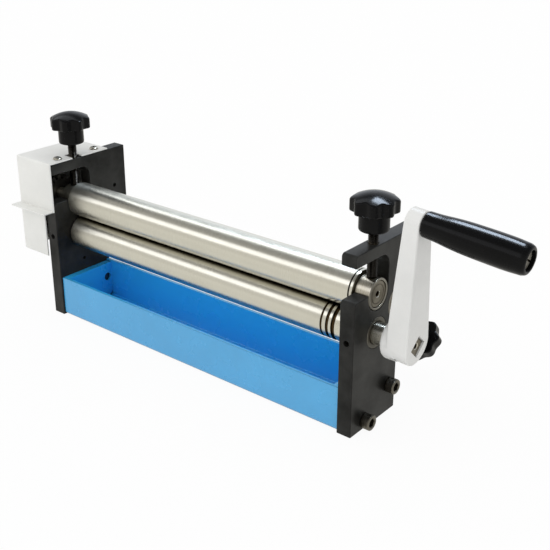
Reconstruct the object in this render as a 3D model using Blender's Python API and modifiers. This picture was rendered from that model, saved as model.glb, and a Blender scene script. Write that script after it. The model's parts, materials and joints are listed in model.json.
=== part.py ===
"""Bench slip roll for sheet metal, 305 mm working width, with a hand crank on the right.

Frame: X runs along the rolls towards the crank, Y to the back, Z up, in metres.
The origin is at the middle of the base, on the surface that it stands on.
Names that end in _depth are measured back from the front edges of the side plates.
"""
import math

import bmesh
import bpy
from mathutils import Vector

mm = 0.001

# Fits and shared details
gap = 0.3 * mm
running_gap = 0.4 * mm
cut_overrun = 6 * mm
merge_distance = 0.01 * mm
arc_step = math.radians(15)
roll_sides = 32
round_sides = 24
small_sides = 14

# Side plates: a foot, a slanted rear edge for the bending screw, a jaw open to the front
inner_half_width = 153.0 * mm
plate_thickness = 12.3 * mm
plate_foot_depth = 58.0 * mm
plate_top_depth = 84.0 * mm
plate_chamfer = 1.8 * mm
plate_edge = 0.6 * mm
jaw_floor_rise = 2.3 * mm
jaw_headroom = 15.9 * mm
jaw_roof_thickness = 9.4 * mm
jaw_corner = 9.0 * mm

# Rolls: two pinch rolls one above the other, and a bending roll nested behind them
roll_radius = 15.0 * mm
roll_gap = 0.3 * mm
roll_depth = 29.2 * mm
lower_roll_height = 74.4 * mm
roll_edge = 0.7 * mm
ring_groove_from_end = 2.4 * mm
ring_groove_width = 0.9 * mm
ring_groove_sink = 1.2 * mm
wire_grooves_from_end = 26.6 * mm
wire_groove_pitch = 5.2 * mm
wire_groove_radii = (0.9 * mm, 1.3 * mm, 1.7 * mm)
centre_hole_radius = 2.1 * mm
centre_hole_sink = 2.6 * mm

# Bushings of the lower roll, and the sliding bearings of the upper and rear rolls
bearing_radius = 12.0 * mm
bushing_chamfer = 0.5 * mm
lower_journal_radius = 8.4 * mm
journal_radius = 9.9 * mm
journal_recess = 0.6 * mm

# Set screws that lock the lower bushings
set_hole_radius = 2.4 * mm
set_screw_radius = 2.0 * mm
set_screw_inset = 2.5 * mm
set_screw_lift = 0.8 * mm

# The bending roll slides down and back between its screws
slope = math.radians(48)
rear_travel = 11.5 * mm
rear_edge_reach = 33.3 * mm

# Gears on the left shaft ends
gear_teeth = 15
gear_pressure_angle = math.radians(20)
gear_thinning = 0.12 * mm
gear_width = 13.0 * mm
gear_standoff = 15.2 * mm
upper_gear_shaft_radius = 5.3 * mm
lower_gear_shaft_radius = 7.0 * mm
gear_seat_radius = 4.9 * mm
gear_nut_height = 3.4 * mm
gear_nut_across = 15.0 * mm
thread_end = 0.5 * mm

# Gear cover, folded from thin sheet
sheet = 1.2 * mm
sheet_edge = 0.5 * mm
cover_reach = 34.3 * mm
cover_lap_inset = 0.2 * mm
cover_front_gap = 0.5 * mm
cover_rear_depth = 65.2 * mm
cover_split_drop = 5.5 * mm
cover_bottom_drop = 19.6 * mm
cover_lip = 10.4 * mm
cover_side_gap = 1.0 * mm
cover_notch_width = 10.4 * mm
cover_front_screw_depth = 13.0 * mm
cover_rear_screw_inset = 10.7 * mm
cover_screw_inset = 5.1 * mm
cover_screw_head = 3.9 * mm
cover_screw_head_height = 2.0 * mm
cover_screw_shank = 1.9 * mm
cover_screw_length = 8.0 * mm

# Tray between the plates: a folded channel with thick ends
tray_front_depth = 1.6 * mm
tray_rear_inset = 1.0 * mm
tray_front_height = 36.4 * mm
tray_rear_height = 38.3 * mm
tray_sheet = 3.0 * mm
tray_bend = 3.6 * mm
tray_end = 6.0 * mm
tray_relief = 4.0 * mm

# Screws that hold the tray to the plates
rear_bolt_inset = 8.0 * mm
rear_bolt_height = 22.9 * mm
front_bolt_inset = 16.1 * mm
front_bolt_height = 7.0 * mm
bolt_head_radius = 5.9 * mm
bolt_head_height = 6.7 * mm
bolt_shank_radius = 3.4 * mm
bolt_bite = 4.5 * mm
bolt_edge = 0.5 * mm
socket_share = 0.56
socket_sink_share = 0.6

# Small blind holes on the inner face of the left plate: depth, height and radius
plate_holes = ((70.0 * mm, 106.9 * mm, 2.0 * mm), (28.4 * mm, 47.3 * mm, 1.6 * mm))
plate_hole_sink = 6.0 * mm

# Adjusting screws and their star knobs
screw_radius = 3.9 * mm
screw_end = 0.7 * mm
knob_lobes = 8
knob_points_per_lobe = 5
knob_valley_radius = 15.1 * mm
knob_lobe_rise = 2.4 * mm
knob_hub_radius = 11.0 * mm
knob_hub_height = 13.7 * mm
knob_rim_height = 8.8 * mm
knob_crown = 5.3 * mm
knob_dome_shares = (0.78, 0.52, 0.26)
knob_foot_round = 2.2 * mm
knob_rim_round = 1.3 * mm
knob_bore_depth = 10.0 * mm
right_knob_standoff = 9.4 * mm
left_knob_standoff = 13.1 * mm
rear_knob_standoff = 18.2 * mm
right_knob_phase = math.radians(30.6)
left_knob_phase = math.radians(34.5)
rear_knob_phase = math.radians(30.0)

# Crank: a tapered casting that leans outwards, on the square end of the lower roll
crank_standoff = 34.0 * mm
crank_lean = math.radians(5.4)
crank_forward = math.radians(9.7)
crank_reach = 100.8 * mm
arm_hub_radius = 14.8 * mm
arm_tip_radius = 8.5 * mm
arm_thickness = 17.0 * mm
arm_tip_thickness = 11.8 * mm
arm_taper_start = 20.0 * mm
arm_edge = 1.2 * mm
boss_standoff = 11.0 * mm
boss_radius = 14.3 * mm
boss_round = 2.8 * mm
boss_inset = 10.0 * mm
square_across = 11.8 * mm
square_root = 4.0 * mm
square_sink = 1.3 * mm
square_turn = math.radians(47)
grub_from_boss_face = 9.7 * mm
grub_radius = 2.5 * mm
grub_inset = 0.6 * mm

# Crank handle: distance out from the arm, and radius there
handle_profile = (
    (0.0 * mm, 8.0 * mm),
    (0.9 * mm, 8.8 * mm),
    (10.0 * mm, 9.2 * mm),
    (21.0 * mm, 10.2 * mm),
    (34.0 * mm, 10.8 * mm),
    (57.0 * mm, 10.95 * mm),
    (69.0 * mm, 10.3 * mm),
    (71.4 * mm, 9.4 * mm),
    (72.0 * mm, 8.2 * mm),
)
handle_mouth_radius = 6.9 * mm
handle_mouth_depth = 8.5 * mm
pin_radius = 4.0 * mm
pin_head_radius = 6.2 * mm
pin_head_height = 6.0 * mm
pin_floor = 2.8 * mm

# Places worked out from the sizes above
front_y = -plate_foot_depth / 2
outer_face_x = inner_half_width + plate_thickness
plate_middle_x = inner_half_width + plate_thickness / 2
pocket_radius = bearing_radius + running_gap
roll_spacing = 2 * roll_radius + roll_gap
roll_y = front_y + roll_depth
upper_roll_height = lower_roll_height + roll_spacing
rear_roll_y = roll_y + roll_spacing * math.sin(math.pi / 3)
rear_roll_height = lower_roll_height + roll_spacing / 2
jaw_floor = upper_roll_height + jaw_floor_rise
jaw_roof = upper_roll_height + pocket_radius + jaw_headroom
plate_height = jaw_roof + jaw_roof_thickness
tray_rear_depth = plate_foot_depth - tray_rear_inset
bolt_places = {
    "rear": (tray_rear_depth - rear_bolt_inset, rear_bolt_height),
    "front": (tray_front_depth + front_bolt_inset, front_bolt_height),
}
bolt_length = plate_thickness + 2 * gap + bolt_bite
roll_end = inner_half_width - 2 * gap
wire_groove_first = inner_half_width - wire_grooves_from_end
gear_module = 2 * roll_radius / gear_teeth
gear_face_x = outer_face_x + gear_standoff
shaft_end_x = gear_face_x + gear_width + gear_nut_height + thread_end + gap
cover_end_x = outer_face_x + cover_reach
cover_right_x = inner_half_width + cover_lap_inset
cover_split = upper_roll_height - cover_split_drop
cover_bottom = lower_roll_height - cover_bottom_drop
cover_screw_x = outer_face_x - cover_screw_inset
cover_screw_depths = {"front": cover_front_screw_depth, "rear": cover_rear_depth - cover_rear_screw_inset}
right_knob_height = plate_height + right_knob_standoff
left_knob_height = plate_height + left_knob_standoff
rear_knob_reach = rear_edge_reach + rear_knob_standoff
crank_face_x = outer_face_x + crank_standoff
boss_face_x = outer_face_x + boss_standoff
boss_length = crank_face_x - boss_face_x - boss_inset
grub_x = boss_face_x + grub_from_boss_face
pin_root = arm_tip_thickness - pin_floor
grub_turn = square_turn + math.pi / 2
down_slope = Vector((0, math.cos(slope), -math.sin(slope)))

# Ways to turn a piece whose own axis is Z
turns = {
    "up": (0, 0, 0),
    "right": (0, math.pi / 2, 0),
    "left": (0, -math.pi / 2, 0),
    "back": (-math.pi / 2, 0, 0),
    "down slope": (3 * math.pi / 2 - slope, 0, 0),
    "grub": (grub_turn, 0, 0),
}
sides = ((1, "right"), (-1, "left"))


def collection(name):
    group = bpy.data.collections.new(name)
    bpy.context.scene.collection.children.link(group)
    return group


def material(name, colour, roughness, metallic=0.0):
    made = bpy.data.materials.new(name)
    made.use_nodes = True
    shader = made.node_tree.nodes["Principled BSDF"]
    shader.inputs["Base Color"].default_value = (*colour, 1.0)
    shader.inputs["Roughness"].default_value = roughness
    shader.inputs["Metallic"].default_value = metallic
    return made


for old in list(bpy.data.objects):
    bpy.data.objects.remove(old, do_unlink=True)
parts = collection("slip_roll")
cutters = collection("slip_roll_cutters")

black_paint = material("black_paint", (0.030, 0.030, 0.029), 0.42)
blue_paint = material("blue_paint", (0.10, 0.39, 0.68), 0.30)
white_paint = material("white_paint", (0.80, 0.79, 0.76), 0.40)
ground_steel = material("ground_steel", (0.72, 0.71, 0.68), 0.18, 1.0)
turned_steel = material("turned_steel", (0.46, 0.45, 0.42), 0.38, 1.0)
gear_steel = material("gear_steel", (0.22, 0.21, 0.20), 0.45, 1.0)
black_oxide = material("black_oxide", (0.020, 0.020, 0.021), 0.32, 0.6)
black_plastic = material("black_plastic", (0.012, 0.012, 0.013), 0.16)


def new_object(name, mesh, finish, where=(0, 0, 0), facing="up"):
    """Links a mesh as a part, or as a cutter where it has no finish."""
    obj = bpy.data.objects.new(name, mesh)
    obj.location = where
    obj.rotation_euler = turns[facing]
    if finish is None:
        cutters.objects.link(obj)
        obj.hide_render = True
        obj.display_type = "WIRE"
    else:
        parts.objects.link(obj)
        mesh.materials.append(finish)
    return obj


def mesh_from(name, shape):
    mesh = bpy.data.meshes.new(name)
    shape.to_mesh(mesh)
    shape.free()
    return mesh


def block(name, first, second, finish, where=(0, 0, 0), turn_x=0.0):
    """A box between two opposite corners, which are measured from its place."""
    low = Vector([min(pair) for pair in zip(first, second)])
    high = Vector([max(pair) for pair in zip(first, second)])
    shape = bmesh.new()
    bmesh.ops.create_cube(shape, size=1.0)
    bmesh.ops.scale(shape, vec=high - low, verts=shape.verts)
    bmesh.ops.translate(shape, vec=(low + high) / 2, verts=shape.verts)
    obj = new_object(name, mesh_from(name, shape), finish, where)
    obj.rotation_euler = (turn_x, 0, 0)
    return obj


def rod(name, radius, low, high, finish, where=(0, 0, 0), facing="up", sides=small_sides):
    """A plain cylinder, or a prism of few sides, from low to high along its own axis."""
    shape, length = bmesh.new(), high - low
    bmesh.ops.create_cone(shape, cap_ends=True, segments=sides, radius1=radius, radius2=radius, depth=length)
    bmesh.ops.translate(shape, vec=(0, 0, (low + high) / 2), verts=shape.verts)
    return new_object(name, mesh_from(name, shape), finish, where, facing)


def turned(name, profile, finish, where=(0, 0, 0), facing="up", ring=False, sides=round_sides):
    """A turned piece from (radius, distance) points: down its outer side and, in a ring, up its bore."""
    shape = bmesh.new()
    points = [shape.verts.new((radius, 0, distance)) for radius, distance in profile]
    for first, second in zip(points, points[1:]):
        shape.edges.new((first, second))
    if ring:
        shape.edges.new((points[-1], points[0]))
    obj = new_object(name, mesh_from(name, shape), finish, where, facing)
    screw = obj.modifiers.new("turn", "SCREW")
    screw.axis = "Z"
    screw.steps = sides
    screw.render_steps = sides
    screw.use_merge_vertices = True
    screw.merge_threshold = merge_distance
    return obj


def slab(name, outline, thickness, finish, where=(0, 0, 0)):
    """A flat outline of (depth, height) points, made solid along X and centred on its place."""
    curve = bpy.data.curves.new(name, "CURVE")
    curve.dimensions = "2D"
    curve.fill_mode = "BOTH"
    curve.extrude = thickness / 2
    spline = curve.splines.new("POLY")
    spline.points.add(len(outline) - 1)
    for point, (depth, height) in zip(spline.points, outline):
        point.co = (depth, height, 0, 1)
    spline.use_cyclic_u = True
    drawn = bpy.data.objects.new(name + "_outline", curve)
    drawn.location = where
    drawn.rotation_euler = (math.pi / 2, 0, math.pi / 2)
    cutters.objects.link(drawn)
    graph = bpy.context.evaluated_depsgraph_get()
    mesh = bpy.data.meshes.new_from_object(drawn.evaluated_get(graph))
    shape = bmesh.new()
    shape.from_mesh(mesh)
    bmesh.ops.remove_doubles(shape, verts=shape.verts, dist=merge_distance)
    flat = math.radians(0.5)
    bmesh.ops.dissolve_limit(shape, angle_limit=flat, verts=shape.verts, edges=shape.edges)
    bmesh.ops.recalc_face_normals(shape, faces=shape.faces)
    obj = new_object(name, mesh_from(name, shape), finish)
    obj.matrix_world = drawn.matrix_world
    bpy.data.objects.remove(drawn, do_unlink=True)
    bpy.data.meshes.remove(mesh)
    return obj


def loft(name, rings, finish, where, facing):
    """A closed skin through rings of equal point counts, with a flat cap at each end."""
    shape = bmesh.new()
    rows = [[shape.verts.new(point) for point in ring] for ring in rings]
    count = len(rows[0])
    for lower, upper in zip(rows, rows[1:]):
        for index in range(count):
            after = (index + 1) % count
            shape.faces.new((lower[index], lower[after], upper[after], upper[index]))
    shape.faces.new(list(reversed(rows[0])))
    shape.faces.new(rows[-1])
    return new_object(name, mesh_from(name, shape), finish, where, facing)


def cut(target, *tools):
    for tool in tools:
        step = target.modifiers.new("cut", "BOOLEAN")
        step.operation = "DIFFERENCE"
        step.object = tool
    return target


def weld_on(target, *extras):
    """Unites a piece with others that are part of the same casting or weldment."""
    for extra in extras:
        step = target.modifiers.new("weld", "BOOLEAN")
        step.operation = "UNION"
        step.object = extra
    return target


def round_edges(obj, width, segments=1):
    step = obj.modifiers.new("edges", "BEVEL")
    step.width = width
    step.segments = segments
    step.limit_method = "ANGLE"
    step.angle_limit = math.radians(40)
    return obj


def arc(centre, radius, start, end):
    """Points on an arc between two angles in degrees, with both ends."""
    start, end = math.radians(start), math.radians(end)
    count = max(2, round(abs(end - start) / arc_step))
    angles = [start + (end - start) * step / count for step in range(count + 1)]
    return [(centre[0] + radius * math.cos(a), centre[1] + radius * math.sin(a)) for a in angles]


def oblong(first, second, radius):
    """The outline of a slot with round ends, between two centres."""
    heading = math.degrees(math.atan2(second[1] - first[1], second[0] - first[0]))
    return arc(first, radius, heading + 90, heading + 270) + arc(second, radius, heading - 90, heading + 90)


# Side plates


def plate_outline():
    """From the side: foot, slanted rear edge square to the bending screw, jaw and roll pocket."""
    foot, top, height, corner = plate_foot_depth, plate_top_depth, plate_height, plate_chamfer
    crossing = Vector((0, rear_roll_y - front_y, rear_roll_height)) + down_slope * rear_edge_reach
    rise = math.cos(slope) / math.sin(slope)
    slant_low = crossing.z + (foot - crossing.y) * rise
    slant_high = crossing.z + (top - crossing.y) * rise
    rear_wall = roll_depth + pocket_radius
    points = [(0, 0), (foot, 0), (foot, slant_low), (top, slant_high), (top, height)]
    points += [(corner, height), (0, height - corner), (0, jaw_roof + corner / 2), (corner / 2, jaw_roof)]
    points += arc((rear_wall - jaw_corner, jaw_roof - jaw_corner), jaw_corner, 90, 0)
    points += arc((roll_depth, upper_roll_height), pocket_radius, 0, -180)
    points += [(roll_depth - pocket_radius, jaw_floor), (corner, jaw_floor), (0, jaw_floor - corner)]
    return points


def side_plate(side, name):
    plate = slab(name, plate_outline(), plate_thickness, black_paint, (side * plate_middle_x, front_y, 0))
    round_edges(plate, plate_edge)
    through = plate_thickness / 2 + cut_overrun
    middle = (side * plate_middle_x, 0, 0)
    closed = Vector((rear_roll_y, rear_roll_height))
    opened = closed + Vector(down_slope.yz) * rear_travel
    cut(plate, slab(name + "_rear_slot", oblong(closed, opened, pocket_radius), 2 * through, None, middle))

    def bore(label, radius, low, high, where, facing, sides=small_sides):
        cut(plate, rod(f"{name}_{label}", radius, low, high, None, where, facing, sides))

    on_lower_axis = (side * plate_middle_x, roll_y, lower_roll_height)
    bore("bushing_bore", bearing_radius + gap, -through, through, on_lower_axis, "right", round_sides)
    screw_bore = screw_radius + running_gap
    on_pinch_axis = (side * plate_middle_x, roll_y, 0)
    roof_to_top = (jaw_roof - cut_overrun, plate_height + cut_overrun)
    bore("pinch_screw_bore", screw_bore, *roof_to_top, on_pinch_axis, "up")
    on_rear_axis = (side * plate_middle_x, rear_roll_y, rear_roll_height)
    pocket_to_edge = (rear_travel, rear_edge_reach + cut_overrun)
    bore("rear_screw_bore", screw_bore, *pocket_to_edge, on_rear_axis, "down slope")
    set_place = (side * plate_middle_x, front_y, lower_roll_height + set_screw_lift)
    bore("set_screw_bore", set_hole_radius, -cut_overrun, roll_depth - bearing_radius, set_place, "back")
    for place, (depth, height) in bolt_places.items():
        on_bolt_axis = (side * plate_middle_x, front_y + depth, height)
        bore(f"{place}_bolt_bore", bolt_shank_radius + running_gap, -through, through, on_bolt_axis, "right")
    return plate


for side, hand in sides:
    side_plate(side, f"{hand}_side_plate")
left_plate = bpy.data.objects["left_side_plate"]
for index, (depth, height, radius) in enumerate(plate_holes):
    place = (-inner_half_width, front_y + depth, height)
    cut(left_plate, rod(f"blind_hole_{index}", radius, -cut_overrun, plate_hole_sink, None, place, "left"))
for depth in cover_screw_depths.values():
    place = (-cover_screw_x, front_y + depth, plate_height)
    tapped = rod("cover_screw_bore", cover_screw_shank + gap, -cover_screw_length, cut_overrun, None, place)
    cut(left_plate, tapped)

# Tray

tray_half = inner_half_width - gap


def tray_outline():
    front, rear, wall, bend = tray_front_depth, tray_rear_depth, tray_sheet, tray_bend
    points = [(front + wall, tray_front_height), (front, tray_front_height)]
    points += arc((front + bend, bend), bend, 180, 270)
    points += arc((rear - bend, bend), bend, 270, 360)
    points += [(rear, tray_rear_height), (rear - wall, tray_rear_height)]
    points += [(rear - wall, bend), (rear - bend, wall), (front + bend, wall), (front + wall, bend)]
    return points


def tray_end_outline():
    """An end plate, sunk half into the sheet, with its lower rear corner cut back."""
    front, rear, wall = tray_front_depth, tray_rear_depth, tray_sheet
    inside, floor = rear - wall, wall
    points = [(front + wall / 2, wall / 2), (inside - tray_relief, wall / 2), (inside - tray_relief, floor)]
    points += [(inside, floor + tray_relief), (rear - wall / 2, floor + tray_relief)]
    return points + [(rear - wall / 2, tray_front_height), (front + wall / 2, tray_front_height)]


tray = slab("tray", tray_outline(), 2 * tray_half, blue_paint, (0, front_y, 0))
for side, hand in sides:
    end_place = (side * (tray_half - tray_end / 2), front_y, 0)
    weld_on(tray, slab(f"tray_{hand}_end", tray_end_outline(), tray_end, None, end_place))
for side, hand in sides:
    ends = (tray_half - tray_end - cut_overrun, tray_half + cut_overrun)
    for depth, height in bolt_places.values():
        hole = bolt_shank_radius + running_gap
        cut(tray, rod(f"tray_{hand}_hole", hole, *ends, None, (0, front_y + depth, height), hand))


def hex_socket(name, head_radius, low, high, where, facing):
    return rod(name, head_radius * socket_share, low, high, None, where, facing, 6)


def tray_bolt(name, hand, depth, height):
    """A socket head cap screw through the plate into the tray's thick end."""
    under = outer_face_x + gap
    top = under + bolt_head_height
    end = under - bolt_length
    head, shank, edge = bolt_head_radius, bolt_shank_radius, bolt_edge
    profile = [(0, top), (head - edge, top), (head, top - edge), (head, under), (shank, under)]
    profile += [(shank, end + edge), (shank - edge, end), (0, end)]
    place = (0, front_y + depth, height)
    bolt = turned(name, profile, black_oxide, place, hand, sides=small_sides)
    bottom = top - bolt_head_height * socket_sink_share
    return cut(bolt, hex_socket("bolt_socket", head, bottom, top + cut_overrun, place, hand))


for side, hand in sides:
    for place, (depth, height) in bolt_places.items():
        tray_bolt(f"{hand}_{place}_tray_bolt", hand, depth, height)

# Bushings and bearings, and the set screws that lock the lower bushings


def sleeve(name, hand, journal, low, y, height):
    """A plain bearing ring on a journal, flush with the plate's outer face."""
    high, edge = outer_face_x, bushing_chamfer
    bore = journal + running_gap
    profile = [(bearing_radius - edge, high), (bearing_radius, high - edge), (bearing_radius, low)]
    profile += [(bore, low), (bore, high - edge), (bore + edge, high)]
    return turned(name, profile, turned_steel, (0, y, height), hand, ring=True)


def bushing_set_screw(side, hand):
    tip = roll_depth - bearing_radius - gap
    radius, inset = set_screw_radius, set_screw_inset
    profile = [(0, tip), (radius / 2, tip), (radius, tip - radius / 2), (radius, inset), (0, inset)]
    place = (side * plate_middle_x, front_y, lower_roll_height + set_screw_lift)
    screw = turned(f"{hand}_bushing_set_screw", profile, black_oxide, place, "back", sides=small_sides)
    return cut(screw, hex_socket("set_socket", radius, 0, inset + radius, place, "back"))


for side, hand in sides:
    fixed, sliding = inner_half_width + gap, roll_end + gap
    sleeve(f"{hand}_lower_bushing", hand, lower_journal_radius, fixed, roll_y, lower_roll_height)
    sleeve(f"{hand}_upper_bearing", hand, journal_radius, sliding, roll_y, upper_roll_height)
    sleeve(f"{hand}_rear_bearing", hand, journal_radius, sliding, rear_roll_y, rear_roll_height)
    bushing_set_screw(side, hand)

# Rolls, turned along X from the crank end to the gear end


def gear_end(shoulder):
    """Profile of the shaft past the left plate: shoulder, then the threaded gear seat."""
    step_x = -(outer_face_x + gap)
    face_x = gap - gear_face_x
    points = [(shoulder, step_x), (shoulder, face_x), (gear_seat_radius, face_x)]
    points += [(gear_seat_radius, thread_end - shaft_end_x), (gear_seat_radius - thread_end, -shaft_end_x)]
    return points + [(0, -shaft_end_x)]


def centre_hole(name, x, height, y=roll_y):
    """The lathe centre in the right-hand end of a roll."""
    return rod(name, centre_hole_radius, -centre_hole_sink, cut_overrun, None, (x, y, height), "right", 12)


def wire_groove(x, radius):
    """A half-round groove for a rolled-in wire, as profile points towards the left."""
    angles = [math.pi * (step / 3 - 1 / 2) for step in range(4)]
    return [(roll_radius - radius * math.cos(angle), x - radius * math.sin(angle)) for angle in angles]


def roll_body(right_points=()):
    """Profile of a roll between the plates, with a small chamfer at each end."""
    outer = [(roll_radius - roll_edge, roll_end), (roll_radius, roll_end - roll_edge), *right_points]
    return outer + [(roll_radius, roll_edge - roll_end), (roll_radius - roll_edge, -roll_end)]


def lower_roll():
    grooves = []
    for index, radius in reversed(list(enumerate(wire_groove_radii))):
        grooves += wire_groove(wire_groove_first + index * wire_groove_pitch, radius)
    journal, shoulder_x = lower_journal_radius, boss_face_x - gap
    step_x = -(outer_face_x + gap)
    profile = [(0, shoulder_x), (journal, shoulder_x), (journal, roll_end), *roll_body(grooves)]
    profile += [(journal, -roll_end), (journal, step_x), *gear_end(lower_gear_shaft_radius)]
    place = (0, roll_y, lower_roll_height)
    roll = turned("lower_roll", profile, ground_steel, place, "right", sides=roll_sides)
    half, end_x = square_across / 2, crank_face_x - square_sink
    corners = ((shoulder_x - square_root, -half, -half), (end_x, half, half))
    square = block("square_end", *corners, None, place, square_turn)
    return cut(weld_on(roll, square), centre_hole("lower_centre", end_x, lower_roll_height))


def upper_roll():
    right, left = roll_end - ring_groove_from_end, roll_end - ring_groove_from_end - ring_groove_width
    low = roll_radius - ring_groove_sink
    groove = [(roll_radius, right), (low, right), (low, left), (roll_radius, left)]
    face, step_x = outer_face_x - journal_recess, -(outer_face_x + gap)
    profile = [(0, face), (journal_radius, face), (journal_radius, roll_end), *roll_body(groove)]
    profile += [(journal_radius, -roll_end), (journal_radius, step_x), *gear_end(upper_gear_shaft_radius)]
    place = (0, roll_y, upper_roll_height)
    roll = turned("upper_roll", profile, ground_steel, place, "right", sides=roll_sides)
    return cut(roll, centre_hole("upper_centre", face, upper_roll_height))


def rear_roll():
    face = outer_face_x - journal_recess
    profile = [(0, face), (journal_radius, face), (journal_radius, roll_end), *roll_body()]
    profile += [(journal_radius, -roll_end), (journal_radius, -face), (0, -face)]
    place = (0, rear_roll_y, rear_roll_height)
    roll = turned("rear_roll", profile, ground_steel, place, "right", sides=roll_sides)
    return cut(roll, centre_hole("rear_centre", face, rear_roll_height, rear_roll_y))


lower_roll()
upper_roll()
rear_roll()

# Gears, an equal pair that turns the upper roll against the lower one


def gear_outline():
    """Involute teeth about the shaft, the first one pointing up."""
    pitch = gear_module * gear_teeth / 2
    base = pitch * math.cos(gear_pressure_angle)
    tip, root = pitch + gear_module, pitch - gear_module * 1.25
    half_at_pitch = math.pi / (2 * gear_teeth) - gear_thinning / pitch

    def involute(angle):
        return math.tan(angle) - angle

    def half_width(radius):
        reached = math.acos(base / max(radius, base))
        return half_at_pitch + involute(gear_pressure_angle) - involute(reached)

    radii = [root, base, pitch, (pitch + tip) / 2, tip]
    flank = [(radius, half_width(radius)) for radius in radii]
    points = []
    for tooth in range(gear_teeth):
        middle = math.tau * tooth / gear_teeth
        polar = [(radius, middle - half) for radius, half in flank]
        polar += [(radius, middle + half) for radius, half in reversed(flank)]
        points += [(-radius * math.sin(angle), radius * math.cos(angle)) for radius, angle in polar]
    return points


def gear(name, height):
    place = (-(gear_face_x + gear_width / 2), roll_y, height)
    blank = slab(name, gear_outline(), gear_width, gear_steel, place)
    bore = rod(name + "_bore", gear_seat_radius + gap, -gear_width, gear_width, None, place, "right")
    return cut(blank, bore)


def gear_nut(name, height):
    """The nut that clamps a gear on its shaft end."""
    low = gear_face_x + gear_width + gap
    high = low + gear_nut_height
    place = (0, roll_y, height)
    corner_radius = gear_nut_across / 2 / math.cos(math.pi / 6)
    nut = rod(name, corner_radius, low, high, turned_steel, place, "left", 6)
    past_low, past_high = low - cut_overrun, high + cut_overrun
    bore = rod(name + "_bore", gear_seat_radius + gap, past_low, past_high, None, place, "left")
    return cut(nut, bore)


for level, height in (("lower", lower_roll_height), ("upper", upper_roll_height)):
    gear(f"{level}_gear", height)
    gear_nut(f"{level}_gear_nut", height)

# Gear cover


def gear_cover():
    """A sheet box over the gears, open below, whose top and upper front lap over the plate."""
    front = front_y - cover_front_gap - sheet
    rear = front_y + cover_rear_depth
    top = plate_height + gap + sheet
    inside_top = top - sheet
    plate_side = -(outer_face_x + gap)
    past_right = cut_overrun - cover_right_x
    past_front, past_rear, past_bottom = front - cut_overrun, rear + cut_overrun, cover_bottom - cut_overrun
    front_corner, rear_corner = (-cover_end_x, front, cover_bottom), (-cover_right_x, rear, top)
    cover = block("gear_cover", front_corner, rear_corner, white_paint)
    round_edges(cover, sheet_edge)
    inner_corner = (sheet - cover_end_x, front + sheet, past_bottom)
    hollow = block("cover_hollow", inner_corner, (past_right, rear - sheet, inside_top), None)
    behind_corner = (plate_side, front + sheet, past_bottom)
    behind = block("cover_behind_plate", behind_corner, (past_right, past_rear, inside_top), None)
    below_corner = (-(outer_face_x + cover_side_gap), past_front, past_bottom)
    below = block("cover_below_split", below_corner, (past_right, past_rear, cover_split), None)
    lip_corner = (sheet_edge - cover_end_x, front - cover_lip, cover_split)
    lip_end = (-cover_right_x - sheet_edge, front + sheet / 2, cover_split + sheet)
    lip = block("cover_lip", lip_corner, lip_end, None)
    half = cover_notch_width / 2
    notch_corner = (-(plate_middle_x + half), roll_y - half, inside_top - cut_overrun)
    notch = block("cover_notch", notch_corner, (past_right, roll_y + half, top + cut_overrun), None)
    cut(cover, hollow, behind, below)
    weld_on(cover, lip)
    cut(cover, notch)
    for depth in cover_screw_depths.values():
        place = (-cover_screw_x, front_y + depth, top)
        hole = rod("cover_hole", cover_screw_shank + gap, -cut_overrun, cut_overrun, None, place)
        cut(cover, hole)
    return cover


def cover_screw(name, depth):
    """A pan head screw through the cover's top into the plate."""
    under = plate_height + gap + sheet + gap
    top, end = under + cover_screw_head_height, under - cover_screw_length
    head, shank = cover_screw_head, cover_screw_shank
    profile = [(0, top), (head / 2, top), (head * math.cos(math.pi / 6), (under + top) / 2), (head, under)]
    profile += [(shank, under), (shank, end), (0, end)]
    return turned(name, profile, turned_steel, (-cover_screw_x, front_y + depth, 0), sides=small_sides)


gear_cover()
for place, depth in cover_screw_depths.items():
    cover_screw(f"{place}_cover_screw", depth)

# Star knobs, lofted from a round hub to an eight-lobed rim and back to a domed top


def knob_ring(radius, lobing, height, phase, crown=0.0):
    """One outline of a knob. Near the top it lies on a smooth crown, highest at the middle."""
    points = []
    count = knob_lobes * knob_points_per_lobe
    for index in range(count):
        around = math.tau * index / count
        lobe = (1 + math.cos(knob_lobes * around)) / 2
        reach = radius + lobing * knob_lobe_rise * lobe
        bulge = crown * (1 - (reach / (knob_valley_radius + knob_lobe_rise)) ** 2)
        points.append((reach * math.cos(phase + around), reach * math.sin(phase + around), height + bulge))
    return points


def star_knob(name, where, facing, phase):
    """A knob whose own Z runs from the foot of its hub to its domed top."""
    hub, valley = knob_hub_radius, knob_valley_radius
    foot, edge = knob_foot_round, knob_rim_round
    under, rim = knob_hub_height, knob_hub_height + knob_rim_height
    soft = foot * (1 - math.cos(math.pi / 4))
    steps = [(hub - foot, 0, 0), (hub - soft, 0, soft), (hub, 0, foot), (hub, 0, under)]
    steps += [(valley - edge, 1, under), (valley, 1, under + edge)]
    top = [(valley, 1, rim - edge), (valley - edge, 1, rim)]
    top += [(valley * share, share, rim) for share in knob_dome_shares]
    rings = [knob_ring(*step, phase) for step in steps]
    rings += [knob_ring(*step, phase, knob_crown) for step in top]
    knob = loft(name, rings, black_plastic, where, facing)
    depth = knob_bore_depth + gap
    return cut(knob, rod(name + "_bore", screw_radius + gap, -cut_overrun, depth, None, where, facing))


def adjusting_screw(name, tip, end, where, facing):
    """A screw with chamfered ends, from the tip that presses on the bearing to inside its knob."""
    radius, edge = screw_radius, screw_end
    profile = [(0, end), (radius - edge, end), (radius, end - edge)]
    profile += [(radius, tip + edge), (radius - edge, tip), (0, tip)]
    return turned(name, profile, black_oxide, where, facing, sides=small_sides)


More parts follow.
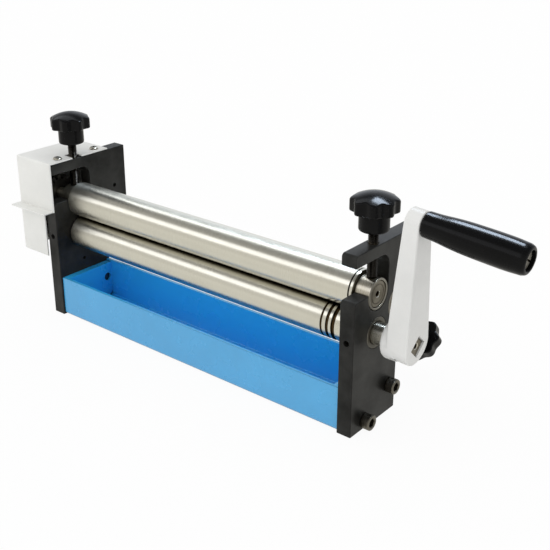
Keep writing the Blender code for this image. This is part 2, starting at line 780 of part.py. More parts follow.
pinch_knobs = {"right": (right_knob_height, right_knob_phase), "left": (left_knob_height, left_knob_phase)}
for side, hand in sides:
    knob_height, phase = pinch_knobs[hand]
    bearing_top = upper_roll_height + bearing_radius + gap
    foot = (side * plate_middle_x, roll_y, 0)
    adjusting_screw(f"{hand}_pinch_screw", bearing_top, knob_height + knob_bore_depth, foot, "up")
    star_knob(f"{hand}_pinch_knob", (side * plate_middle_x, roll_y, knob_height), "up", phase)
    axis = Vector((side * plate_middle_x, rear_roll_y, rear_roll_height))
    screw_ends = (bearing_radius + gap, rear_knob_reach + knob_bore_depth)
    adjusting_screw(f"{hand}_rear_screw", *screw_ends, axis, "down slope")
    star_knob(f"{hand}_rear_knob", axis + down_slope * rear_knob_reach, "down slope", rear_knob_phase)

# Crank: an empty on the lower roll's axis carries the leaning arm, its pin and its handle

crank = bpy.data.objects.new("crank_axis", None)
crank.rotation_mode = "ZYX"
crank.rotation_euler = (crank_forward, crank_lean, 0)
crank.location = (crank_face_x, roll_y, lower_roll_height)
parts.objects.link(crank)


def arm_outline():
    side_angle = math.degrees(math.asin((arm_hub_radius - arm_tip_radius) / crank_reach))
    outline = arc((0, 0), arm_hub_radius, 180 - side_angle, 360 + side_angle)
    return outline + arc((0, crank_reach), arm_tip_radius, side_angle, 180 - side_angle)


def crank_boss():
    """The boss on the arm's inner side, true to the shaft while the arm leans."""
    high = boss_face_x + boss_length
    soft = boss_round * (1 - math.cos(math.pi / 4))
    profile = [(0, high), (boss_radius, high), (boss_radius, boss_face_x + boss_round)]
    profile += [(boss_radius - soft, boss_face_x + soft), (boss_radius - boss_round, boss_face_x)]
    profile.append((0, boss_face_x))
    return turned("crank_boss", profile, None, (0, roll_y, lower_roll_height), "right")


def crank_arm():
    """Taper from hub to tip, thinned on its inner side, with a boss and a square hole."""
    arm = slab("crank_arm", arm_outline(), arm_thickness, white_paint)
    arm.parent = crank
    arm.location = (-arm_thickness / 2, 0, 0)
    wide = arm_hub_radius + cut_overrun
    wedge = block("arm_wedge", (-arm_thickness, -wide, 0), (0, wide, crank_reach + wide), None)
    wedge.parent = crank
    wedge.location = (-arm_thickness, 0, arm_taper_start)
    thinned = math.atan((arm_thickness - arm_tip_thickness) / (crank_reach - arm_taper_start))
    wedge.rotation_euler = (0, thinned, 0)
    cut(arm, wedge)
    round_edges(arm, arm_edge, 2)
    weld_on(arm, crank_boss())
    on_axis = (0, roll_y, lower_roll_height)
    half = square_across / 2 + gap
    corners = ((boss_face_x - cut_overrun, -half, -half), (crank_face_x + cut_overrun, half, half))
    square = block("crank_square", *corners, None, on_axis, square_turn)
    pin_place = (0, 0, crank_reach)
    pin_hole = rod("pin_hole", pin_radius + gap, -pin_root - gap, cut_overrun, None, pin_place, "right")
    pin_hole.parent = crank
    grub_place = (grub_x, roll_y, lower_roll_height)
    grub_hole = rod("grub_hole", grub_radius + gap, 0, wide, None, grub_place, "grub")
    return cut(arm, square, pin_hole, grub_hole)


def crank_grub_screw():
    """Set screw from under the boss, with its tip on a flat of the square."""
    tip, end, radius = square_across / 2 + gap, boss_radius - grub_inset, grub_radius
    profile = [(0, end), (radius, end), (radius, tip), (0, tip)]
    place = (grub_x, roll_y, lower_roll_height)
    screw = turned("crank_grub_screw", profile, black_oxide, place, "grub", sides=small_sides)
    return cut(screw, hex_socket("grub_socket", radius, end - radius, end + cut_overrun, place, "grub"))


def handle_grip():
    """A swelling grip with a bore for its pin and a mouth for the pin's head."""
    length = handle_profile[-1][0] + gap
    mouth = length - handle_mouth_depth
    bore = pin_radius + running_gap
    profile = [(radius, distance + gap) for distance, radius in reversed(handle_profile)]
    profile += [(bore, gap), (bore, mouth), (handle_mouth_radius, mouth), (handle_mouth_radius, length)]
    return turned("handle_grip", profile, black_plastic, (0, 0, crank_reach), "right", ring=True)


def handle_pin():
    """The headed pin, fast in the arm, that the grip spins on."""
    under = handle_profile[-1][0] - handle_mouth_depth + 2 * gap
    top, head, edge = under + pin_head_height, pin_head_radius, bolt_edge
    profile = [(0, top), (head - edge, top), (head, top - edge), (head, under), (pin_radius, under)]
    profile += [(pin_radius, -pin_root), (0, -pin_root)]
    return turned("handle_pin", profile, turned_steel, (0, 0, crank_reach), "right", sides=small_sides)


crank_arm()
crank_grub_screw()
handle_grip().parent = crank
handle_pin().parent = crank

# Settle the modifiers, and shade the round faces smooth
graph = bpy.context.evaluated_depsgraph_get()
for obj in parts.objects:
    if obj.type == "MESH":
        settled = bpy.data.meshes.new_from_object(obj.evaluated_get(graph))
        obj.modifiers.clear()
        obj.data = settled
        settled.shade_smooth()
        settled.set_sharp_from_angle(angle=math.radians(35))
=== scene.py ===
"""Looks of the bench slip roll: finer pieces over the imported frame, finishes, studio and camera.

Lengths are in metres through mm, in the frame's own axes: X along the rolls towards the crank,
Y to the back, Z up. Places whose names end in _depth are measured back from the plates' front edges.
"""
import json
import math

import bmesh
import bpy
from mathutils import Matrix, Vector


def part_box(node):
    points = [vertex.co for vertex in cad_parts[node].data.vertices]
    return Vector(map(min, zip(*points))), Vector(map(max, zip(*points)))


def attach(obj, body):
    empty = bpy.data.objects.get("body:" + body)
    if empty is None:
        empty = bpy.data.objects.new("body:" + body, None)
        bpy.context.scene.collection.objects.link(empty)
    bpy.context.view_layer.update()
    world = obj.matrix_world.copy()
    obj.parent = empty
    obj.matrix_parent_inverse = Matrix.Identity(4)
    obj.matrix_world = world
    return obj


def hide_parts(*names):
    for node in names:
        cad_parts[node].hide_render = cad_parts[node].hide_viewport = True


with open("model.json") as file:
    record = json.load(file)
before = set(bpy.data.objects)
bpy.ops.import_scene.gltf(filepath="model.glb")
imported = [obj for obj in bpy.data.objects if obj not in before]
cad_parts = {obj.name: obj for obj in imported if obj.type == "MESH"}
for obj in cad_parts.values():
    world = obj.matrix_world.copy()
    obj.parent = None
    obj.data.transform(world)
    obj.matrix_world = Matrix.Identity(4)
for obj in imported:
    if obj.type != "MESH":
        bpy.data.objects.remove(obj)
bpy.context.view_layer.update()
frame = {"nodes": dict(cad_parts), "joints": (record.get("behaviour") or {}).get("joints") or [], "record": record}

mm = 0.001

# Places taken from the frame
record = frame["record"]
body_of = {node: body for body, nodes in record["behaviour"]["bodies"].items() for node in nodes}
slot_of = {part["node"]: part["material_slot"] for part in record["subparts"]}
joints = {joint["name"]: joint for joint in frame["joints"]}
lower_axis = Vector(joints["crank_turn"]["pos_m"])
upper_axis = Vector(joints["pinch_roll_turn"]["pos_m"])
rear_axis = Vector(joints["bend_roll_turn"]["pos_m"])
down_slope = Vector(joints["bend_slide"]["axis"])
plate_low, plate_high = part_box("right_side_plate")
inner_x, outer_x = plate_low.x, plate_high.x
front_y, plate_height = plate_low.y, plate_high.z
plate_middle_x = (inner_x + outer_x) / 2
plate_thickness = outer_x - inner_x
roll_low, roll_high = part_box("rear_roll")
roll_radius = (roll_high.z - roll_low.z) / 2
roll_depth = lower_axis.y - front_y

# Fineness of the meshes
round_sides = 96
small_sides = 48
arc_step = math.radians(4)
smooth_angle = math.radians(38)
bevel_angle = math.radians(30)
fillet_share = 0.45
merge_distance = 0.002 * mm
overrun = 5 * mm
gap = 0.3 * mm
running_gap = 0.4 * mm

# Side plates
foot_depth = 58.0 * mm
top_depth = plate_high.y - front_y
plate_corner = 1.8 * mm
plate_edge = 0.6 * mm
jaw_floor = 107.0 * mm
jaw_roof = 133.0 * mm
jaw_corner = 9.0 * mm
rear_edge_reach = 33.3 * mm
rear_travel = joints["bend_slide"]["range_m"][1]
bearing_radius = 12.0 * mm
journal_radius = 9.9 * mm
journal_recess = 0.6 * mm
lower_journal_radius = 8.4 * mm
blind_holes = ((70.0 * mm, 106.9 * mm, 2.0 * mm), (28.4 * mm, 47.3 * mm, 1.6 * mm))
blind_sink = 6.0 * mm
set_hole_radius = 2.4 * mm
set_hole_lift = 0.8 * mm
screw_radius = 3.9 * mm
thread_pitch = 1.25 * mm
thread_sink = 0.55 * mm
thread_roundness = 1.3
thread_chamfer = 0.7 * mm
sleeve_round = 0.45 * mm

# Rolls
roll_edge = 0.8 * mm
roll_edge_share = 0.3
journal_round = 0.35 * mm
face_groove = (7.0 * mm, 7.5 * mm, 0.5 * mm)
ring_groove = (2.2 * mm, 1.3 * mm, 1.7 * mm)
wire_groove_first = 126.4 * mm
wire_groove_pitch = 5.2 * mm
wire_groove_radii = (0.9 * mm, 1.3 * mm, 1.7 * mm)
centre_hole_radius = 2.6 * mm
centre_hole_bore = 1.9 * mm
centre_hole_sink = 6.0 * mm
shaft_edge = 0.5 * mm
gear_face_x = 180.5 * mm
gear_seat_radius = 4.9 * mm
shaft_radii = {"lower": 7.0 * mm, "upper": 5.3 * mm}

# Tray
tray_front_depth = 1.6 * mm
tray_rear_depth = 57.0 * mm
tray_front_height = 36.4 * mm
tray_rear_height = 38.3 * mm
tray_sheet = 3.0 * mm
tray_bend = 3.6 * mm
tray_inner_bend = 1.0 * mm
tray_end = 6.0 * mm
tray_relief = 4.0 * mm
tray_edge = 0.35 * mm
bolt_places = {"rear": (49.0 * mm, 22.9 * mm), "front": (17.7 * mm, 7.0 * mm)}
bolt_head_radius = 5.9 * mm
bolt_head_height = 6.7 * mm
bolt_shank_radius = 3.4 * mm
bolt_length = 17.4 * mm
bolt_edge = 0.6 * mm
bolt_socket_radius = 3.696 * mm
bolt_socket_sink = 4.02 * mm
bolt_lead_radius = 4.026 * mm
bolt_lead_sink = 3.63 * mm
knurl_count = 36
knurl_share = 0.022

# Gear cover
cover_sheet = 1.2 * mm
cover_bend = 1.5 * mm
cover_inner_bend = 0.66 * mm
cover_front_gap = 0.5 * mm
cover_split = 99.2 * mm
cover_lip = 10.4 * mm
lip_overlap = 0.96 * mm
lip_inset = 0.5 * mm
lip_edge = 0.4 * mm
cover_notch = 10.4 * mm
cover_side_gap = 1.0 * mm
cover_screw_depths = {"front": 13.0 * mm, "rear": 54.5 * mm}
cover_screw_x = 160.2 * mm
cover_screw_head = 3.9 * mm
cover_screw_edge = 0.15 * mm
cover_screw_shank = 1.9 * mm
cover_screw_angles = (0.5, 0.8, 1.1, 1.35)
cover_screw_roundness = 0.7
cover_hole_radius = 2.2 * mm
tapped_hole_sink = 8.0 * mm
recess_reach = 2.1 * mm
recess_half_width = 0.42 * mm
recess_sink = 1.3 * mm
recess_turn = 0.5

# Knobs, as in the frame: lobes about a hub, with a domed top
knob_lobes = 8
knob_points = 16
knob_valley = 15.1 * mm
knob_rise = 2.4 * mm
knob_hub = 11.0 * mm
knob_hub_height = 13.7 * mm
knob_rim_height = 8.8 * mm
knob_crown = 5.3 * mm
knob_foot_round = 2.2 * mm
knob_under_round = 1.2 * mm
knob_dome_steps = 12
knob_dome_share = 0.92
knob_wall_share = 0.8
knob_lobe_spread = 1.6
rear_knob_reach = 51.5 * mm
rear_screw_end = 61.5 * mm
knob_bore_sink = 10.3 * mm
knob_phases = {"right_pinch": 30.6, "left_pinch": 34.5, "right_rear": 30.0, "left_rear": 30.0}

# Crank
crank_lean = math.radians(5.4)
crank_forward = math.radians(9.7)
crank_face_x = 199.3 * mm
crank_reach = 100.8 * mm
arm_hub_radius = 14.8 * mm
arm_tip_radius = 8.5 * mm
arm_thickness = 17.0 * mm
arm_tip_thickness = 11.8 * mm
arm_taper_start = 20.0 * mm
arm_edge = 1.2 * mm
boss_face_x = 176.3 * mm
boss_radius = 14.8 * mm
boss_round = 3.2 * mm
boss_length = 13.0 * mm
square_across = 11.6 * mm
square_slack = 0.6 * mm
square_sink = 1.6 * mm
square_root = 4.0 * mm
square_edge = 0.4 * mm
grub_x = 186.0 * mm
grub_radius = 2.8 * mm
pin_radius = 4.0 * mm
pin_head_radius = 6.2 * mm
pin_head_height = 6.0 * mm
pin_root = 9.3 * mm
pin_round = 0.6 * mm
pin_slot_half_width = 0.7 * mm
pin_slot_sink = 1.2 * mm
pin_slot_turn = 0.9
handle_profile = (
    (0.0 * mm, 8.0 * mm),
    (0.9 * mm, 8.8 * mm),
    (10.0 * mm, 9.2 * mm),
    (21.0 * mm, 10.2 * mm),
    (34.0 * mm, 10.8 * mm),
    (57.0 * mm, 10.95 * mm),
    (69.0 * mm, 10.3 * mm),
    (71.4 * mm, 9.4 * mm),
    (72.0 * mm, 8.2 * mm),
)
handle_mouth_radius = 6.9 * mm
handle_mouth_sink = 8.5 * mm
handle_mouth_edge = 0.5 * mm
handle_end_round = 1.0 * mm
seam_height = 0.10 * mm
seam_half_width = math.radians(0.9)
seam_tolerance = 0.001

# Wear, dirt, painted shade and moulding marks
wear_width = 0.7 * mm
# Painted shade: paint in enclosed places, such as inside the gear cover, darkens to near black.
enclosed_shade_reach = 45.0 * mm
enclosed_shade = (0.016, 0.015, 0.012)
# Crevice darkening on steel: brown dirt in grooves and painted shade in holes, sockets and gaps.
dirt_and_shade_reach = 3.0 * mm
roll_dirt_and_shade_reach = 5.0 * mm
face_line_sink = 0.02 * mm
mask_softness = 0.2 * mm
# Filled rings on steel: caked dirt in the roll grooves, painted shade in the centre holes.
caked_and_shade_margin = 0.3 * mm
hole_shade_face_margin = 0.4 * mm
caked_and_shade_fade = 0.15 * mm
caked_and_shade_overlap = 0.05 * mm
moulding_wave = 0.02 * mm
moulding_grain = 0.0015 * mm

# Headings that a piece's own Z can take
square_turn = math.radians(47)
turns = {
    "up": Matrix.Identity(4),
    "right": Matrix.Rotation(math.pi / 2, 4, "Y"),
    "left": Matrix.Rotation(-math.pi / 2, 4, "Y"),
    "back": Matrix.Rotation(-math.pi / 2, 4, "X"),
    "down slope": down_slope.to_track_quat("Z", "X").to_matrix().to_4x4(),
    "grub": Matrix.Rotation(square_turn + math.pi / 2, 4, "X"),
}
sides = ((1, "right"), (-1, "left"))


# Shapes


def link(name, shape, where=(0, 0, 0), facing="up"):
    """Makes an object of a bmesh, turned and placed in the frame."""
    mesh = bpy.data.meshes.new(name)
    bmesh.ops.recalc_face_normals(shape, faces=shape.faces)
    shape.to_mesh(mesh)
    shape.free()
    made = bpy.data.objects.new(name, mesh)
    bpy.context.scene.collection.objects.link(made)
    made.matrix_world = Matrix.Translation(where) @ turns[facing]
    return made


def filleted(points, radius, steps=4):
    """A run of points whose inner corners are rounded off."""
    points = [Vector(point) for point in points]
    soft = [points[0]]
    for before, corner, after in zip(points, points[1:], points[2:]):
        room = min((before - corner).length, (after - corner).length)
        reach = min(radius, room * fillet_share)
        first = corner + (before - corner).normalized() * reach
        last = corner + (after - corner).normalized() * reach
        for step in range(steps + 1):
            share = step / steps
            soft.append(first.lerp(corner, share).lerp(corner.lerp(last, share), share))
    return soft + [points[-1]]


def turned(name, profile, where=(0, 0, 0), facing="up", sides=round_sides):
    """A turned piece from (radius, distance) points, about its own Z."""
    shape = bmesh.new()
    verts = [shape.verts.new((point[0], 0, point[1])) for point in profile]
    edges = [shape.edges.new(pair) for pair in zip(verts, verts[1:])]
    whole = verts + edges
    bmesh.ops.spin(shape, geom=whole, axis=(0, 0, 1), cent=(0, 0, 0), angle=math.tau, steps=sides)
    bmesh.ops.remove_doubles(shape, verts=shape.verts, dist=merge_distance)
    return link(name, shape, where, facing)


def rod(name, radius, low, high, where=(0, 0, 0), facing="up", sides=small_sides):
    shape = bmesh.new()
    length = high - low
    bmesh.ops.create_cone(shape, cap_ends=True, segments=sides, radius1=radius, radius2=radius, depth=length)
    bmesh.ops.translate(shape, vec=(0, 0, (low + high) / 2), verts=shape.verts)
    return link(name, shape, where, facing)


def block(name, first, second, turn=None):
    """A box between two opposite corners, turned about the frame's origin where a matrix is given."""
    low = Vector([min(pair) for pair in zip(first, second)])
    high = Vector([max(pair) for pair in zip(first, second)])
    shape = bmesh.new()
    bmesh.ops.create_cube(shape, size=1.0)
    bmesh.ops.scale(shape, vec=high - low, verts=shape.verts)
    bmesh.ops.translate(shape, vec=(low + high) / 2, verts=shape.verts)
    made = link(name, shape)
    if turn is not None:
        made.matrix_world = turn
    return made


def slab(name, outline, low_x, high_x):
    """A solid along X from an outline of (depth, height) points."""
    shape = bmesh.new()
    face = shape.faces.new([shape.verts.new((low_x, depth, height)) for depth, height in outline])
    grown = bmesh.ops.extrude_face_region(shape, geom=[face])
    moved = [item for item in grown["geom"] if isinstance(item, bmesh.types.BMVert)]
    bmesh.ops.translate(shape, vec=(high_x - low_x, 0, 0), verts=moved)
    return link(name, shape, (0, front_y, 0))


def arc(centre, radius, start, end):
    """Points on an arc between two angles in degrees."""
    start, end = math.radians(start), math.radians(end)
    count = max(2, round(abs(end - start) / arc_step))
    angles = [start + (end - start) * step / count for step in range(count + 1)]
    return [(centre[0] + radius * math.cos(a), centre[1] + radius * math.sin(a)) for a in angles]


def oblong(first, second, radius):
    heading = math.degrees(math.atan2(second[1] - first[1], second[0] - first[0]))
    return arc(first, radius, heading + 90, heading + 270) + arc(second, radius, heading - 90, heading + 90)


def skin(name, rings, where=(0, 0, 0), facing="up"):
    """A closed skin through rings of equal point counts, capped at both ends."""
    shape = bmesh.new()
    rows = [[shape.verts.new(point) for point in ring] for ring in rings]
    count = len(rows[0])
    for lower, upper in zip(rows, rows[1:]):
        for index in range(count):
            after = (index + 1) % count
            shape.faces.new((lower[index], lower[after], upper[after], upper[index]))
    shape.faces.new(list(reversed(rows[0])))
    shape.faces.new(rows[-1])
    return link(name, shape, where, facing)


def combine(target, operation, tools):
    for tool in tools:
        step = target.modifiers.new("cut", "BOOLEAN")
        step.operation = operation
        step.solver = "EXACT"
        step.object = tool
    return target


def cut(target, *tools):
    return combine(target, "DIFFERENCE", tools)


def weld_on(target, *extras):
    return combine(target, "UNION", extras)


def round_edges(piece, width, segments=3):
    step = piece.modifiers.new("edges", "BEVEL")
    step.width = width
    step.segments = segments
    step.limit_method = "ANGLE"
    step.angle_limit = bevel_angle
    return piece


def settle(piece):
    """Applies a piece's modifiers and removes the cutters that they used."""
    bpy.context.view_layer.update()
    tools = [step.object for step in piece.modifiers if step.type == "BOOLEAN"]
    graph = bpy.context.evaluated_depsgraph_get()
    mesh = bpy.data.meshes.new_from_object(piece.evaluated_get(graph))
    piece.modifiers.clear()
    piece.data = mesh
    for tool in tools:
        bpy.data.objects.remove(tool, do_unlink=True)
    return piece


# Finishes


class Nodes:
    """A node tree under construction, with short ways to add and join its nodes."""

    def __init__(self, owner):
        owner.use_nodes = True
        self.tree = owner.node_tree

    def feed(self, entry, value):
        """Joins another node's output to an entry, or sets the entry to a number, a vector or a colour."""
        if isinstance(value, bpy.types.NodeSocket):
            self.tree.links.new(value, entry)
        elif isinstance(value, (int, float)):
            entry.default_value = value
        else:
            entry.default_value = (*value, 1.0)[:len(entry.default_value)]

    def node(self, kind, *values, **named):
        """Adds a node. Its first entries take the values; names are of other entries or of its settings."""
        made = self.tree.nodes.new(kind)
        for name, value in named.items():
            if name in made.inputs:
                self.feed(made.inputs[name], value)
            else:
                setattr(made, name, value)
        for entry, value in zip(made.inputs, values):
            self.feed(entry, value)
        return made

    def add(self, kind, *values, **named):
        """Adds a node and gives its first output."""
        return self.node(kind, *values, **named).outputs[0]

    def maths(self, operation, first, second=0.0):
        return self.add("ShaderNodeMath", first, second, operation=operation)

    def times(self, first, second):
        return self.maths("MULTIPLY", first, second)

    def dot(self, first, second):
        return self.node("ShaderNodeVectorMath", first, second, operation="DOT_PRODUCT").outputs["Value"]

    def axes(self, vector):
        return self.node("ShaderNodeSeparateXYZ", vector).outputs

    def band(self, value, low, high, from_low=0.3, from_high=0.7):
        """Maps a value to a range, which it doesn't leave."""
        return self.add("ShaderNodeMapRange", value, from_low, from_high, low, high)

    def rise(self, value, low, high):
        """0 where a value is under the first number, 1 over the second."""
        return self.band(value, 0.0, 1.0, low, high)

    def blend(self, share, first, second, **settings):
        """Blends two colours by a share from 0 to 1."""
        node = self.node("ShaderNodeMix", share, data_type="RGBA", **settings)
        self.feed(node.inputs[6], first)
        self.feed(node.inputs[7], second)
        return node.outputs[2]

    def ramp(self, value, first, last, *others):
        """Colours along a value, from (position, colour) stops."""
        node = self.node("ShaderNodeValToRGB", value)
        stops = node.color_ramp.elements
        for stop, (position, colour) in zip(stops, (first, last)):
            stop.position, stop.color = position, (*colour, 1.0)
        for position, colour in others:
            stops.new(position).color = (*colour, 1.0)
        return node.outputs[0]


class Finish(Nodes):
    """A piece's material, laid out by the piece's own coordinates."""

    def __init__(self, name, colour, roughness, metallic=0.0):
        finishes[name] = bpy.data.materials.new(name)
        super().__init__(finishes[name])
        self.shader = self.tree.nodes["Principled BSDF"]
        self.set("Base Color", colour)
        self.set("Roughness", roughness)
        self.set("Metallic", metallic)
        self.coordinates = self.node("ShaderNodeTexCoord").outputs
        self.place = self.coordinates["Object"]

    def set(self, entry, value):
        self.feed(self.shader.inputs[entry], value)

    def noise(self, scale, detail=3.0, stretch=(1, 1, 1), rough=0.5):
        """Noise over the piece, with features about 1/scale across."""
        spread = self.add("ShaderNodeMapping", self.place, Scale=stretch)
        texture = self.node("ShaderNodeTexNoise", spread, Scale=scale, Detail=detail, Roughness=rough)
        return texture.outputs["Fac"]

    def radius(self):
        """The distance from the piece's own Z."""
        apart = self.axes(self.place)
        squares = [self.times(apart[axis], apart[axis]) for axis in "XY"]
        return self.maths("SQRT", self.maths("ADD", *squares))

    def lines(self, scale, detail=2.0):
        """Lines that a lathe or grinder leaves: round the piece's own Z, also on its end faces."""
        along = self.maths("ADD", self.axes(self.place)["Z"], self.radius())
        texture = self.node("ShaderNodeTexNoise", noise_dimensions="1D", W=along, Scale=scale, Detail=detail)
        return texture.outputs["Fac"]

    def within(self, axis, low, high):
        """1 between two distances along an axis of the piece's own, 0 outside."""
        along = self.axes(self.place)[axis]
        above = self.rise(along, low - mask_softness, low + mask_softness)
        below = self.band(along, 1.0, 0.0, high - mask_softness, high + mask_softness)
        return self.times(above, below)

    def edges(self, width, low, high):
        """1 along worn outer and inner edges, 0 on the open faces."""
        soft = self.add("ShaderNodeBevel", samples=4, Radius=width)
        plain = self.node("ShaderNodeNewGeometry").outputs["Normal"]
        return self.rise(self.maths("SUBTRACT", 1.0, self.dot(soft, plain)), low, high)

    def crevices(self, reach, low, high):
        """1 in grooves and corners, 0 in the open."""
        closed = self.node("ShaderNodeAmbientOcclusion", samples=6, Distance=reach)
        return self.rise(self.maths("SUBTRACT", 1.0, closed.outputs["AO"]), low, high)

    def end_faces(self):
        """1 on the faces square to the piece's own Z, 0 on the turned sides."""
        upright = self.maths("ABSOLUTE", self.axes(self.coordinates["Normal"])["Z"])
        return self.rise(upright, 0.80, 0.95)

    def bump(self, value, distance):
        node = self.node("ShaderNodeBump", Strength=1.0, Distance=distance, Height=value)
        entry = self.shader.inputs["Normal"]
        if entry.is_linked:
            self.feed(node.inputs["Normal"], entry.links[0].from_socket)
        self.feed(entry, node.outputs["Normal"])


def scaled(colour, factor):
    return tuple(min(1.0, part * factor) for part in colour)


def paint(name, colour, roughness, peel, peel_sink, worn, grime, gloss, mottle=1.04, inside=None):
    """Sprayed paint: orange peel, clouding, dust and rubbed edges, with painted shade where it is enclosed, and
    painted light on a tray's inner faces where inside is given.
    """
    look = Finish(name, colour, roughness)
    clouds = look.rise(look.noise(24.0, 6.0, rough=0.62), 0.36, 0.66)
    shade = look.blend(clouds, scaled(colour, grime), scaled(colour, mottle))
    # Painted light: between the tray's walls and above its floor, where the rolls shade it, the blue is brighter.
    if inside:
        (front, rear), floor, brightened_inside_colour = inside
        held = look.times(look.within("Y", front, rear), look.within("Z", floor, plate_height))
        shade = look.blend(held, shade, brightened_inside_colour)
    specks = look.band(look.noise(2600.0, 1.0), 0.0, 0.35, 0.68, 0.74)
    shade = look.blend(specks, shade, scaled(colour, 0.72))
    ragged = look.rise(look.noise(420.0, 3.0), 0.42, 0.66)
    rubbed = look.times(look.edges(wear_width, 0.05, 0.5), ragged)
    shade = look.blend(look.times(rubbed, 0.55), shade, worn)
    # Painted shade: where ambient occlusion finds a painted piece enclosed, its colour turns near black.
    look.set("Base Color", look.blend(look.crevices(enclosed_shade_reach, 0.72, 0.93), shade, enclosed_shade))
    look.set("Roughness", look.band(look.noise(45.0, 4.0), roughness * 0.84, roughness * 1.18))
    look.bump(look.noise(peel, 2.0), peel_sink)
    look.bump(look.noise(5200.0, 1.0), peel_sink * 0.25)
    look.set("Specular IOR Level", gloss)


def steel(
    name, colour, roughness, line_scale, line_sink, dull, oil, anisotropic=0.0,
    ends=None, reach=dirt_and_shade_reach, caked_and_hole_shade=(),
):
    """Bare steel with the lines of its machining, a film of oil and faint handling marks. Its crevices darken,
    partly with dirt and partly as painted shade; grooves can be filled with caked dirt and centre holes with
    painted shade.
    """
    look = Finish(name, colour, roughness, 1.0)
    lines = look.lines(line_scale)
    fine = look.lines(line_scale * 4.0, 1.0)
    tone = look.maths("ADD", look.times(lines, 0.6), look.times(fine, 0.4))
    tone = look.band(tone, 0.0, 1.0)
    shade = look.blend(tone, scaled(colour, dull), scaled(colour, 1.06))
    smears = look.band(look.noise(38.0, 5.0, rough=0.6), 0.0, oil, 0.5, 0.72)
    shade = look.blend(smears, shade, (colour[0] * 0.84, colour[1] * 0.80, colour[2] * 0.72))
    streaks = look.times(tone, roughness * 0.35)
    rough = look.maths("ADD", streaks, look.band(look.noise(55.0, 4.0), roughness * 0.72, roughness))
    if ends:
        faces = look.end_faces()
        shade = look.blend(faces, shade, ends)
        rough = look.maths("ADD", rough, look.times(faces, 0.16))
        look.bump(look.times(faces, look.lines(line_scale * 0.35)), face_line_sink)
    # Crevices darken to brown: dirt in grooves, and painted shade in holes, sockets and gaps.
    dirt_and_shade = look.times(look.crevices(reach, 0.22, 0.70), 0.92)
    shade = look.blend(dirt_and_shade, shade, (0.065, 0.050, 0.026))
    # Rings under a radius turn dark brown: caked dirt in the roll grooves, and painted shade in the centre holes.
    for radius, low, high in caked_and_hole_shade:
        inner = look.band(look.radius(), 1.0, 0.0, radius - caked_and_shade_fade, radius + caked_and_shade_overlap)
        held = look.times(inner, look.within("Z", low, high))
        shade = look.blend(held, shade, (0.050, 0.032, 0.014))
    look.set("Base Color", shade)
    look.set("Roughness", rough)
    look.bump(lines, line_sink)
    look.bump(fine, line_sink * 0.4)
    look.set("Anisotropic", anisotropic)
    look.set("Anisotropic Rotation", 0.25)


def plastic(name, colour, roughness, gloss):
    """Glossy moulded plastic: sink waves, fine scratches and dust."""
    look = Finish(name, colour, roughness)
    clouds = look.band(look.noise(25.0, 3.0), 0.0, 1.0)
    shade = look.blend(clouds, scaled(colour, 0.8), scaled(colour, 1.3))
    dust = look.band(look.noise(3000.0, 0.0), 0.0, 0.5, 0.70, 0.78)
    look.set("Base Color", look.blend(dust, shade, scaled(colour, 5.0)))
    scratch = look.band(look.noise(300.0, 4.0, (1, 9, 1)), roughness * 0.8, roughness * 1.5, 0.45, 0.75)
    look.set("Roughness", scratch)
    look.bump(look.noise(90.0, 1.0), moulding_wave)
    look.bump(look.noise(1800.0, 2.0), moulding_grain)
    look.set("Specular IOR Level", gloss)


worn_black, worn_blue, worn_white = (0.09, 0.086, 0.075), (0.30, 0.55, 0.75), (0.64, 0.63, 0.58)
# Painted light: the tray's inner faces get a brighter, more saturated blue than its outside, against the shade
# inside the tray.
tray_walls = (tray_front_depth + tray_sheet / 2, tray_rear_depth - tray_sheet / 2)
tray_inside_brightening = (tray_walls, tray_sheet / 2, (0.033, 0.49, 1.0))
body_end = inner_x - 2 * gap - roll_edge
# The second ring darkens the centre holes as painted shade; the first fills the roll grooves with caked dirt.
centre_hole_end = crank_face_x - square_sink - hole_shade_face_margin
caked_grooves_and_hole_shade = (
    (roll_radius - caked_and_shade_margin, -body_end, body_end),
    (centre_hole_radius - caked_and_shade_margin, outer_x - centre_hole_sink, centre_hole_end),
)
finishes = {}
paint(
    "black_paint", (0.011, 0.011, 0.0102), 0.36, peel=900.0, peel_sink=0.02 * mm,
    worn=worn_black, grime=0.35, gloss=0.13, mottle=3.0,
)
paint(
    "blue_paint", (0.050, 0.370, 0.70), 0.26, peel=620.0, peel_sink=0.010 * mm,
    worn=worn_blue, grime=0.96, gloss=0.9, inside=tray_inside_brightening,
)
paint(
    "white_sheet", (0.80, 0.80, 0.765), 0.42, peel=800.0, peel_sink=0.015 * mm,
    worn=worn_white, grime=0.965, gloss=0.3,
)
paint(
    "white_casting", (0.79, 0.79, 0.765), 0.36, peel=420.0, peel_sink=0.03 * mm,
    worn=worn_white, grime=0.965, gloss=0.06,
)
steel(
    "ground_steel", (0.61, 0.593, 0.520), 0.27, 5200.0, 0.0009 * mm, dull=0.93, anisotropic=0.8, oil=0.14,
    ends=(0.15, 0.135, 0.105), reach=roll_dirt_and_shade_reach, caked_and_hole_shade=caked_grooves_and_hole_shade,
)
steel(
    "turned_steel", (0.50, 0.47, 0.40), 0.28, 2600.0, 0.006 * mm, dull=0.66, anisotropic=0.3, oil=0.75,
    ends=(0.20, 0.19, 0.165),
)
steel(
    "oily_steel", (0.42, 0.40, 0.35), 0.32, 2600.0, 0.006 * mm, dull=0.6, anisotropic=0.2, oil=0.9,
    ends=(0.10, 0.095, 0.080),
)
steel("gear_steel", (0.19, 0.18, 0.16), 0.42, 2000.0, 0.008 * mm, dull=0.7, oil=0.6)
steel("black_screw", (0.030, 0.028, 0.026), 0.24, 1500.0, 0.004 * mm, dull=0.6, oil=0.3)
steel("black_bolt", (0.135, 0.124, 0.102), 0.38, 1500.0, 0.004 * mm, dull=0.6, oil=0.3)
